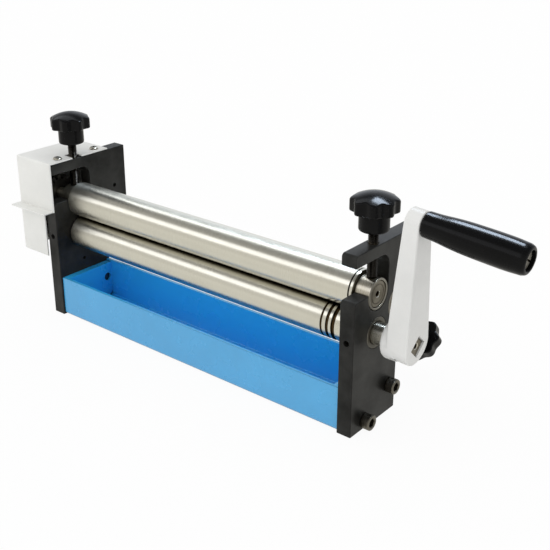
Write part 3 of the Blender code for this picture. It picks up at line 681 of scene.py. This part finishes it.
plastic("black_plastic", (0.0040, 0.0040, 0.0042), 0.19, 0.09)
own_finishes = {"tray_bolt": "black_bolt", "lower_bushing": "oily_steel"}


def finish_of(node):
    """The finish of a node's slot, or of its own kind of piece."""
    for ending, name in own_finishes.items():
        if node.endswith(ending):
            return finishes[name]
    return finishes[slot_of[node]]


for node, piece in frame["nodes"].items():
    piece.data.materials.clear()
    piece.data.materials.append(finish_of(node))


def dressed(piece, node):
    """Gives a finer piece its finish, and lets it stand for a node of the frame."""
    settle(piece)
    mesh = piece.data
    mesh.materials.clear()
    mesh.materials.append(finish_of(node))
    mesh.shade_smooth()
    mesh.set_sharp_from_angle(angle=smooth_angle)
    weighted = piece.modifiers.new("normals", "WEIGHTED_NORMAL")
    weighted.keep_sharp = True
    settle(piece)
    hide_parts(node)
    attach(piece, body_of[node])
    return piece


# Side plates


def plate_outline():
    crossing = Vector((0, rear_axis.y - front_y, rear_axis.z)) + down_slope * rear_edge_reach
    rise = -down_slope.y / down_slope.z
    slant_low = crossing.z + (foot_depth - crossing.y) * rise
    slant_high = crossing.z + (top_depth - crossing.y) * rise
    pocket = bearing_radius + running_gap
    rear_wall = roll_depth + pocket
    top, corner = plate_height, plate_corner
    points = [(0, 0), (foot_depth, 0), (foot_depth, slant_low), (top_depth, slant_high), (top_depth, top)]
    points += [(corner, top), (0, top - corner), (0, jaw_roof + corner / 2), (corner / 2, jaw_roof)]
    points += arc((rear_wall - jaw_corner, jaw_roof - jaw_corner), jaw_corner, 90, 0)
    points += arc((roll_depth, upper_axis.z), pocket, 0, -180)
    return points + [(roll_depth - pocket, jaw_floor), (corner, jaw_floor), (0, jaw_floor - corner)]


def side_plate(side, hand):
    name = hand + "_side_plate"
    casting = slab(name + "_casting", plate_outline(), side * inner_x, side * outer_x)
    middle_x = side * plate_middle_x
    closed = Vector((rear_axis.y - front_y, rear_axis.z))
    opened = closed + Vector(down_slope.yz) * rear_travel
    wide = plate_thickness / 2 + overrun
    pocket = bearing_radius + running_gap
    tools = [slab("rear_slot", oblong(closed, opened, pocket), middle_x - wide, middle_x + wide)]
    place = (middle_x, *lower_axis.yz)
    tools.append(rod("bushing_bore", bearing_radius + gap, -wide, wide, place, "right", round_sides))
    bore, place = screw_radius + running_gap, (middle_x, lower_axis.y, 0)
    tools.append(rod("pinch_bore", bore, jaw_roof - overrun, plate_height + overrun, place))
    reach = rear_edge_reach + overrun
    tools.append(rod("rear_bore", bore, rear_travel, reach, (middle_x, *rear_axis.yz), "down slope"))
    set_place = (middle_x, front_y, lower_axis.z + set_hole_lift)
    tools.append(rod("set_bore", set_hole_radius, -overrun, roll_depth - bearing_radius, set_place, "back"))
    for depth, height in bolt_places.values():
        hole = (middle_x, front_y + depth, height)
        tools.append(rod("bolt_bore", bolt_shank_radius + running_gap, -wide, wide, hole, "right"))
    if hand == "left":
        for depth, height, radius in blind_holes:
            hole = (-inner_x, front_y + depth, height)
            tools.append(rod("blind_hole", radius, -overrun, blind_sink, hole, "left"))
        for depth in cover_screw_depths.values():
            hole = (-cover_screw_x, front_y + depth, plate_height)
            tools.append(rod("tapped_hole", cover_hole_radius, -tapped_hole_sink, overrun, hole))
    return dressed(cut(round_edges(casting, plate_edge), *tools), name)


for side, hand in sides:
    side_plate(side, hand)

# Tray


def tray_outline():
    front, rear, sheet, bend = tray_front_depth, tray_rear_depth, tray_sheet, tray_bend
    points = [(front + sheet, tray_front_height), (front, tray_front_height)]
    points += arc((front + bend, bend), bend, 180, 270) + arc((rear - bend, bend), bend, 270, 360)
    points += [(rear, tray_rear_height), (rear - sheet, tray_rear_height)]
    inner = tray_inner_bend
    points += arc((rear - sheet - inner, sheet + inner), inner, 0, -90)
    return points + arc((front + sheet + inner, sheet + inner), inner, 270, 180)


def tray_end_outline():
    front, inside, floor = tray_front_depth, tray_rear_depth - tray_sheet, tray_sheet
    rear, half = tray_rear_depth, tray_sheet / 2
    points = [(front + half, half), (inside - tray_relief, half), (inside - tray_relief, floor)]
    points += [(inside, floor + tray_relief), (rear - half, floor + tray_relief)]
    return points + [(rear - half, tray_front_height), (front + half, tray_front_height)]


tray_low, tray_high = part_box("tray")
tray = round_edges(slab("tray_shell", tray_outline(), tray_low.x, tray_high.x), tray_edge, 2)
for side, hand in sides:
    end_x = (side * tray_high.x, side * (tray_high.x - tray_end))
    weld_on(tray, slab("tray_end", tray_end_outline(), min(end_x), max(end_x)))
for side, hand in sides:
    for depth, height in bolt_places.values():
        place = (side * tray_high.x, front_y + depth, height)
        hole = bolt_shank_radius + running_gap
        cut(tray, rod("tray_hole", hole, -tray_end - overrun, overrun, place, hand))
dressed(tray, "tray")

# Socket head screws with knurled heads


def knurl(piece, radius, low, high, depth):
    """Presses grooves along a head's outside, between two distances on its own axis."""
    for vert in piece.data.vertices:
        if low < vert.co.z < high and math.hypot(vert.co.x, vert.co.y) > radius * 0.9:
            wave = (1 + math.cos(knurl_count * math.atan2(vert.co.y, vert.co.x))) / 2
            vert.co.xy = vert.co.xy * (1 - depth * wave)


def tray_bolt(hand, place, depth, height):
    under = outer_x + gap
    top, end = under + bolt_head_height, under - bolt_length
    head, shank, soft = bolt_head_radius, bolt_shank_radius, bolt_edge
    profile = [(0, top), (head - soft, top), (head - soft / 3, top - soft / 3), (head, top - soft)]
    profile += [(head, top - soft * 1.4), (head, under + soft), (head - soft / 2, under), (shank, under)]
    profile += [(shank, end + soft), (shank - soft, end), (0, end)]
    where = (0, front_y + depth, height)
    bolt = turned(f"{hand}_{place}_cap_screw", profile, where, hand, sides=knurl_count * 4)
    knurl(bolt, head, under + soft * 0.5, top - soft * 1.1, knurl_share)
    lead = [(0, top + soft), (bolt_lead_radius, top + soft * 0.2), (0, top - bolt_lead_sink)]
    socket = rod("socket", bolt_socket_radius, top - bolt_socket_sink, top + overrun, where, hand, 6)
    mouth = turned("socket_lead", lead, where, hand, sides=small_sides)
    return dressed(cut(bolt, socket, mouth), f"{hand}_{place}_tray_bolt")


for side, hand in sides:
    for place, (depth, height) in bolt_places.items():
        tray_bolt(hand, place, depth, height)

# Bushings, rolls and bearings


def sleeve(node, hand, journal, low, axis):
    """A plain bearing ring on a journal, with softened edges."""
    bore, high, middle = journal + running_gap, outer_x, (low + outer_x) / 2
    profile = [(bore, middle), (bore, high), (bearing_radius, high), (bearing_radius, low)]
    profile = filleted([*profile, (bore, low), (bore, middle)], sleeve_round)
    return dressed(turned(node + "_ring", profile, (0, *axis.yz), hand), node)


def groove(x, radius, steps=8):
    angles = [math.pi * (step / steps - 1 / 2) for step in range(steps + 1)]
    return [(roll_radius - radius * math.cos(angle), x - radius * math.sin(angle)) for angle in angles]


def roll_profile(right_points=()):
    """A roll's body from right to left, with a small round at each end."""
    end, edge, half = inner_x - 2 * gap, roll_edge, roll_edge * roll_edge_share
    right = [(roll_radius - edge, end), (roll_radius - half, end - half), (roll_radius, end - edge)]
    left = [(radius, -x) for radius, x in reversed(right)]
    return [*right, *right_points, *left]


def threaded_end(kind):
    step_x, face_x = -(outer_x + gap), gap - gear_face_x
    end_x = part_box(kind + "_roll")[0].x
    seat, soft = gear_seat_radius, shaft_edge
    shoulder = shaft_radii[kind]
    points = [(shoulder, step_x), (shoulder, face_x), (seat, face_x)]
    return points + [(seat, end_x + soft), (seat - soft, end_x), (0, end_x)]


def centre_hole(x, axis, facing="right"):
    """A lathe centre: a small bore with a wider cone at its mouth."""
    sink, mouth, bore = centre_hole_sink, centre_hole_radius, centre_hole_bore
    profile = [(0, overrun), (mouth + overrun, overrun), (mouth, 0), (bore, bore - mouth), (bore, -sink)]
    profile.append((0, -sink - bore))
    return turned("centre_hole", profile, (x, *axis.yz), facing, sides=small_sides)


def lower_roll():
    grooves = []
    for index, radius in reversed(list(enumerate(wire_groove_radii))):
        grooves += groove(wire_groove_first + index * wire_groove_pitch, radius)
    journal, shoulder_x = lower_journal_radius, boss_face_x - gap
    body = roll_profile(grooves)
    profile = [(0, shoulder_x), (journal, shoulder_x), (journal, body[0][1]), *body]
    profile += [(journal, body[-1][1]), (journal, -(outer_x + gap)), *threaded_end("lower")]
    place = (0, *lower_axis.yz)
    roll = turned("driven_roll", profile, place, "right")
    half, end_x = square_across / 2, crank_face_x - square_sink
    corners = ((shoulder_x - square_root, -half, -half), (end_x, half, half))
    turn = Matrix.Translation(place) @ Matrix.Rotation(square_turn, 4, "X")
    square = settle(round_edges(block("square_end", *corners, turn), square_edge, 2))
    return dressed(cut(weld_on(roll, square), centre_hole(end_x, lower_axis)), "lower_roll")


def idle_roll(name, node, axis, ends, right_points=()):
    body = roll_profile(right_points)
    face, soft = outer_x - journal_recess, journal_round
    inner, outer, sink = face_groove
    start = [(0, face), (inner, face), (inner, face - sink), (outer, face - sink), (outer, face)]
    start += [(journal_radius - soft, face), (journal_radius, face - soft), (journal_radius, body[0][1])]
    profile = [*start, *body, (journal_radius, body[-1][1]), *ends]
    roll = turned(name, profile, (0, *axis.yz), "right")
    return dressed(cut(roll, centre_hole(face, axis)), node)


for side, hand in sides:
    sleeve(hand + "_lower_bushing", hand, lower_journal_radius, inner_x + gap, lower_axis)
    sleeve(hand + "_upper_bearing", hand, journal_radius, inner_x - gap, upper_axis)
    sleeve(hand + "_rear_bearing", hand, journal_radius, inner_x - gap, rear_axis)
lower_roll()
groove_in, groove_width, groove_sink = ring_groove
groove_x = inner_x - 2 * gap - groove_in
groove_low = roll_radius - groove_sink
ring = [(roll_radius, groove_x), (groove_low, groove_x), (groove_low, groove_x - groove_width)]
ring.append((roll_radius, groove_x - groove_width))
upper_ends = [(journal_radius, -(outer_x + gap)), *threaded_end("upper")]
idle_roll("pinch_roll_bar", "upper_roll", upper_axis, upper_ends, ring)
rear_end, soft = journal_recess - outer_x, journal_round
rear_ends = [(journal_radius, rear_end + soft), (journal_radius - soft, rear_end), (0, rear_end)]
idle_roll("bend_roll_bar", "rear_roll", rear_axis, rear_ends)

# Gear cover and its pan head screws


def gear_cover():
    low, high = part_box("gear_cover")
    sheet, top, plate_side = cover_sheet, high.z, -(outer_x + gap)
    front, inside_top = front_y - cover_front_gap - sheet, top - sheet
    right, rear, bottom = high.x + overrun, high.y + overrun, low.z - overrun
    cover = block("cover_box", (low.x, front, low.z), (high.x, high.y, top))
    settle(round_edges(cover, cover_bend, 5))
    near = (low.x - overrun, front - overrun, bottom)
    trim = block("cover_trim", near, (right, rear, low.z + merge_distance))
    near = (low.x + sheet, front + sheet, low.z - 3 * overrun)
    hollow = block("hollow", near, (high.x + 3 * overrun, high.y - sheet, inside_top))
    settle(round_edges(hollow, cover_inner_bend, 3))
    behind = block("behind", (plate_side, front + sheet, bottom), (right, rear, inside_top))
    near = (plate_side - cover_side_gap + gap, front - overrun, bottom)
    below = block("below", near, (right, rear, cover_split))
    outer, inner = front - cover_lip - front_y, front + lip_overlap - front_y
    lip_top = cover_split + sheet
    outline = [(outer, cover_split), (inner, cover_split), (inner, lip_top), (outer, lip_top)]
    lip = settle(round_edges(slab("lip", outline, low.x + lip_inset, high.x - lip_inset), lip_edge, 2))
    half = cover_notch / 2
    near = (-(plate_middle_x + half), upper_axis.y - half, inside_top - overrun)
    notch = block("notch", near, (right, upper_axis.y + half, top + overrun))
    cut(cover, trim, hollow, behind, below)
    weld_on(cover, lip)
    cut(cover, notch)
    for depth in cover_screw_depths.values():
        place = (-cover_screw_x, front_y + depth, top)
        cut(cover, rod("cover_hole", cover_hole_radius, -overrun, overrun, place))
    return dressed(cover, "gear_cover")


def cover_screw(name, depth):
    low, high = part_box(name)
    under, top, head = plate_height + gap + cover_sheet + gap, high.z, cover_screw_head
    profile = [(0, top)]
    for angle in cover_screw_angles:
        height = under + (top - under) * math.cos(angle) ** cover_screw_roundness
        profile.append((head * math.sin(angle), height))
    profile += [(head, under + cover_screw_edge), (head - cover_screw_edge, under)]
    profile += [(cover_screw_shank, under), (cover_screw_shank, low.z), (0, low.z)]
    place = (-cover_screw_x, front_y + depth, 0)
    screw = turned(name + "_head", profile, place, sides=small_sides)
    arm, half = recess_reach, recess_half_width
    tools = []
    for turn in (recess_turn, recess_turn + math.pi / 2):
        blade = block("recess", (-arm, -half, top - recess_sink), (arm, half, top + overrun))
        blade.matrix_world = Matrix.Translation(place) @ Matrix.Rotation(turn, 4, "Z")
        tools.append(blade)
    return dressed(cut(screw, *tools), name)


gear_cover()
for place, depth in cover_screw_depths.items():
    cover_screw(place + "_cover_screw", depth)

# Adjusting screws with real threads, and their knobs


def threaded(name, low, high, where, facing, sides=36, rows_per_turn=6):
    """A threaded rod between two distances along its axis, with chamfered ends."""
    rows = round((high - low) / thread_pitch * rows_per_turn)
    rings = []
    for row in range(rows + 1):
        z = low + (high - low) * row / rows
        limit = screw_radius - thread_chamfer + min(z - low, high - z)
        ring = []
        for index in range(sides):
            angle = math.tau * index / sides
            turn = (z / thread_pitch - index / sides) % 1.0
            radius = min(limit, screw_radius - thread_sink * abs(2 * turn - 1) ** thread_roundness)
            ring.append((radius * math.cos(angle), radius * math.sin(angle), z))
        rings.append(ring)
    return skin(name, rings, where, facing)


def star_knob(name, node, where, facing, phase):
    """An eight-lobed knob whose own Z runs from the foot of its hub to its domed top."""
    under, rim, widest = knob_hub_height, knob_hub_height + knob_rim_height, knob_valley + knob_rise
    foot = [(knob_hub - 2 * knob_foot_round, 0), (knob_hub, 0), (knob_hub, under)]
    wall = [(knob_hub, under), (knob_valley, under), (knob_valley, rim), (knob_valley * knob_wall_share, rim)]
    steps = [(*point, 0.0, 0.0) for point in filleted(foot, knob_foot_round, 6)[:-1]]
    for radius, height in filleted(wall, knob_under_round, 5)[:-1]:
        lobing = min(1.0, (radius - knob_hub) / (knob_valley - knob_hub) * knob_lobe_spread)
        steps.append((radius, height, lobing, float(height > (under + rim) / 2)))
    for step in range(1, knob_dome_steps):
        share = knob_dome_share * (1 - step / knob_dome_steps)
        steps.append((knob_valley * share, rim, share, 1.0))
    rings = []
    for radius, height, lobing, top in steps:
        ring = []
        for index in range(knob_lobes * knob_points):
            around = math.tau * index / (knob_lobes * knob_points)
            reach = radius + lobing * knob_rise * (1 + math.cos(knob_lobes * around)) / 2
            lift = top * knob_crown * (1 - (reach / widest) ** 2)
            ring.append((reach * math.cos(phase + around), reach * math.sin(phase + around), height + lift))
        rings.append(ring)
    knob = skin(name, rings, where, facing)
    bore = rod("knob_bore", screw_radius + gap, -overrun, knob_bore_sink, where, facing)
    return dressed(cut(knob, bore), node)


for side, hand in sides:
    place = (side * plate_middle_x, upper_axis.y, 0)
    low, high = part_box(hand + "_pinch_screw")
    dressed(threaded(hand + "_pinch_thread", low.z, high.z, place, "up"), hand + "_pinch_screw")
    knob_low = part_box(hand + "_pinch_knob")[0].z
    phase = math.radians(knob_phases[hand + "_pinch"])
    knob_place = (side * plate_middle_x, upper_axis.y, knob_low)
    star_knob(hand + "_pinch_star", hand + "_pinch_knob", knob_place, "up", phase)
    place = Vector((side * plate_middle_x, *rear_axis.yz))
    ends = (bearing_radius + gap, rear_screw_end)
    dressed(threaded(hand + "_rear_thread", *ends, place, "down slope"), hand + "_rear_screw")
    phase = math.radians(knob_phases[hand + "_rear"])
    knob_place = place + down_slope * rear_knob_reach
    star_knob(hand + "_rear_star", hand + "_rear_knob", knob_place, "down slope", phase)

# Crank

crank = Matrix.Translation((crank_face_x, *lower_axis.yz))
crank = crank @ Matrix.Rotation(crank_forward, 4, "X") @ Matrix.Rotation(crank_lean, 4, "Y")
arm_tip = crank @ Matrix.Translation((0, 0, crank_reach))


def crank_arm():
    side_angle = math.degrees(math.asin((arm_hub_radius - arm_tip_radius) / crank_reach))
    outline = arc((0, 0), arm_hub_radius, 180 - side_angle, 360 + side_angle)
    outline += arc((0, crank_reach), arm_tip_radius, side_angle, 180 - side_angle)
    arm = slab("crank_casting", outline, -arm_thickness, 0)
    arm.matrix_world = crank
    wide = arm_hub_radius + overrun
    wedge = block("wedge", (-arm_thickness, -wide, 0), (0, wide, crank_reach + wide))
    thinned = math.atan((arm_thickness - arm_tip_thickness) / (crank_reach - arm_taper_start))
    start = Matrix.Translation((-arm_thickness, 0, arm_taper_start))
    wedge.matrix_world = crank @ start @ Matrix.Rotation(thinned, 4, "Y")
    settle(cut(arm, wedge))
    settle(round_edges(arm, arm_edge, 4))
    place = (0, *lower_axis.yz)
    high = boss_face_x + boss_length
    profile = [(0, high), (boss_radius, high), (boss_radius, boss_face_x), (0, boss_face_x)]
    boss = turned("boss", filleted(profile, boss_round, 8), place, "right")
    half = square_across / 2 + square_slack
    corners = ((boss_face_x - overrun, -half, -half), (crank_face_x + overrun, half, half))
    turn = Matrix.Translation(place) @ Matrix.Rotation(square_turn, 4, "X")
    pin_hole = rod("pin_hole", pin_radius + gap, -pin_root, overrun)
    pin_hole.matrix_world = arm_tip @ turns["right"]
    grub_hole = rod("grub_hole", grub_radius, 0, wide, (grub_x, *lower_axis.yz), "grub")
    weld_on(arm, boss)
    return dressed(cut(arm, block("square_hole", *corners, turn), pin_hole, grub_hole), "crank_arm")


def smooth_run(points, steps=5):
    """Catmull-Rom points through the given ones."""
    points = [Vector(point) for point in points]
    padded = [points[0] * 2 - points[1], *points, points[-1] * 2 - points[-2]]
    run = []
    for a, b, c, d in zip(padded, padded[1:], padded[2:], padded[3:]):
        for step in range(steps):
            t = step / steps
            bend, twist = 2 * a - 5 * b + 4 * c - d, 3 * b - a - 3 * c + d
            run.append((2 * b + (c - a) * t + bend * t ** 2 + twist * t ** 3) / 2)
    return run + [points[-1]]


def handle_grip():
    length = handle_profile[-1][0] + gap
    mouth, bore = length - handle_mouth_sink, pin_radius + running_gap
    body = smooth_run(handle_profile[1:7])
    ends = [Vector(point) for point in handle_profile]
    outside = [ends[0], *body, *filleted(ends[6:], handle_end_round)[1:]]
    outside = [(point.y, point.x + gap) for point in outside]
    rim, edge = handle_mouth_radius, handle_mouth_edge
    inside = [(rim + edge, length), (rim, length - edge), (rim, mouth), (bore, mouth), (bore, gap)]
    points = outside + inside
    shape = bmesh.new()
    seams = (0.0, math.pi)
    around = [round(math.tau * step / round_sides, 6) for step in range(round_sides)]
    for seam in seams:
        for shift in (-seam_half_width, seam_half_width):
            around.append((seam + shift) % math.tau)
    rows = []
    for angle in sorted(around):
        on_seam = min(abs(math.remainder(angle - seam, math.tau)) for seam in seams) < seam_tolerance
        row = []
        for index, (radius, distance) in enumerate(points):
            reach = radius + (seam_height if on_seam and 1 < index < len(outside) - 4 else 0.0)
            row.append(shape.verts.new((reach * math.cos(angle), reach * math.sin(angle), distance)))
        rows.append(row)
    for first, second in zip(rows, rows[1:] + rows[:1]):
        for index in range(len(points)):
            after = (index + 1) % len(points)
            shape.faces.new((first[index], first[after], second[after], second[index]))
    grip = link("crank_grip", shape)
    grip.matrix_world = arm_tip @ turns["right"]
    return dressed(grip, "handle_grip")


def handle_pin():
    under = handle_profile[-1][0] - handle_mouth_sink + 2 * gap
    head, top, end, half = pin_head_radius, under + pin_head_height, gap - pin_root, pin_slot_half_width
    profile = [(0, top), (head, top), (head, under), (pin_radius, under), (pin_radius, end), (0, end)]
    pin = turned("grip_pin", filleted(profile, pin_round), sides=small_sides)
    slot = block("screwdriver_slot", (-head * 2, -half, top - pin_slot_sink), (head * 2, half, top + overrun))
    pin.matrix_world = arm_tip @ turns["right"]
    slot.matrix_world = pin.matrix_world @ Matrix.Rotation(pin_slot_turn, 4, "Z")
    return dressed(cut(pin, slot), "handle_pin")


crank_arm()
handle_grip()
handle_pin()

# Studio


def studio_floor(tint, shadow):
    """White to the camera and in reflections, with a share of real light and shadow."""
    made = bpy.data.materials.new("studio_floor")
    studio = Nodes(made)
    studio.tree.nodes.clear()
    path = studio.node("ShaderNodeLightPath").outputs
    lit = studio.add("ShaderNodeBsdfDiffuse", tint)
    white = studio.blend(path["Is Camera Ray"], (1.0, 0.985, 0.925), (1, 1, 1))
    glow = studio.add("ShaderNodeEmission", white, 1.0)
    seen = studio.maths("MAXIMUM", path["Is Camera Ray"], path["Is Glossy Ray"])
    seen = studio.maths("MAXIMUM", seen, path["Is Transmission Ray"])
    mixed = studio.add("ShaderNodeMixShader", studio.times(seen, 1 - shadow), lit, glow)
    studio.node("ShaderNodeOutputMaterial", mixed)
    return made


def studio_world():
    """Soft light from the front left, a graded sky in reflections, white to the camera."""
    made = bpy.data.worlds.new("studio")
    studio = Nodes(made)
    studio.tree.nodes.clear()
    path = studio.node("ShaderNodeLightPath").outputs
    direction = studio.node("ShaderNodeTexCoord").outputs["Generated"]
    apart = studio.axes(direction)
    greys = ((0.35, 0.86), (0.60, 0.62), (0.76, 0.36))
    greys = [(position, (grey, grey, grey)) for position, grey in greys]
    climb = studio.ramp(apart["Z"], (0.0, (0.90, 0.895, 0.87)), (1.0, (0.26, 0.27, 0.28)), *greys)
    cooler = studio.ramp(apart["Y"], (0.0, (1.0, 0.985, 0.95)), (0.6, (0.88, 0.93, 1.0)))
    sky = studio.blend(1.0, climb, cooler, blend_type="MULTIPLY")
    glossy = studio.add("ShaderNodeBackground", sky, studio.band(apart["Y"], 1.0, 0.92, -0.2, 0.6))
    level = studio.maths("ADD", studio.dot(direction, (-0.28, -0.22, 0.18)), 0.85)
    soft = studio.add("ShaderNodeBackground", (0.99, 0.99, 1.0), level)
    white = studio.add("ShaderNodeBackground", (1, 1, 1))
    by_gloss = studio.add("ShaderNodeMixShader", path["Is Glossy Ray"], soft, glossy)
    seen = studio.maths("MAXIMUM", path["Is Camera Ray"], path["Is Transmission Ray"])
    studio.node("ShaderNodeOutputWorld", studio.add("ShaderNodeMixShader", seen, by_gloss, white))
    return made


floor_reach = 6.0
floor_drop = 0.2 * mm
lamp_aim_height = 0.1
floor_shape = bmesh.new()
bmesh.ops.create_grid(floor_shape, x_segments=2, y_segments=2, size=floor_reach)
floor = link("studio_floor", floor_shape, (0, 0, -floor_drop))
floor.data.materials.append(studio_floor((0.92, 0.92, 0.91), 0.06))

scene = bpy.context.scene
scene.world = studio_world()


def softbox(name, place, width, height, radiance, colour):
    """A lamp that faces the object with its width along X. It gives reflections only."""
    lamp = bpy.data.lights.new(name, "AREA")
    lamp.shape = "RECTANGLE"
    lamp.size, lamp.size_y = width, height
    lamp.energy = radiance * math.pi * width * height
    lamp.color = colour
    made = bpy.data.objects.new(name, lamp)
    scene.collection.objects.link(made)
    away = (Vector(place) - Vector((place[0], 0, lamp_aim_height))).normalized()
    along = Vector((1, 0, 0))
    facing = Matrix((along, away.cross(along), away)).transposed().to_4x4()
    made.matrix_world = Matrix.Translation(place) @ facing
    made.visible_camera = False
    made.visible_diffuse = False


softbox("front_softbox", (-1.4, -1.45, 1.20), 3.6, 0.80, 1.20, (0.98, 1.0, 1.06))
softbox("overhead_softbox", (-1.0, 0.44, 1.60), 2.8, 0.48, 2.0, (0.95, 1.0, 1.05))
softbox("grip_gleam", (0.13, 0.17, 0.54), 0.20, 0.12, 42.0, (0.85, 1.0, 1.20))
softbox("dome_gleam", (-0.90, 1.62, 0.85), 1.8, 1.40, 0.5, (0.95, 1.0, 1.08))

# Camera, at the photograph's viewpoint
camera_place = Vector((490.33, -517.50, 390.73)) * mm
camera_right = Vector((0.77702, 0.62947, 0.00199))
camera_up = Vector((-0.23797, 0.29082, 0.92671))
focal_pixels = 952.64
picture_pixels = 550.0
axis_pixel_y = 241.33
lens = bpy.data.cameras.new("photo_camera")
lens.sensor_width = 36.0
lens.lens = lens.sensor_width * focal_pixels / picture_pixels
lens.shift_y = (axis_pixel_y - picture_pixels / 2) / picture_pixels
lens.clip_start = 0.01
camera = bpy.data.objects.new("photo_camera", lens)
scene.collection.objects.link(camera)
turn = Matrix((camera_right, camera_up, camera_right.cross(camera_up))).transposed().to_4x4()
camera.matrix_world = Matrix.Translation(camera_place) @ turn
scene.camera = camera
scene.view_settings.view_transform = "Standard"
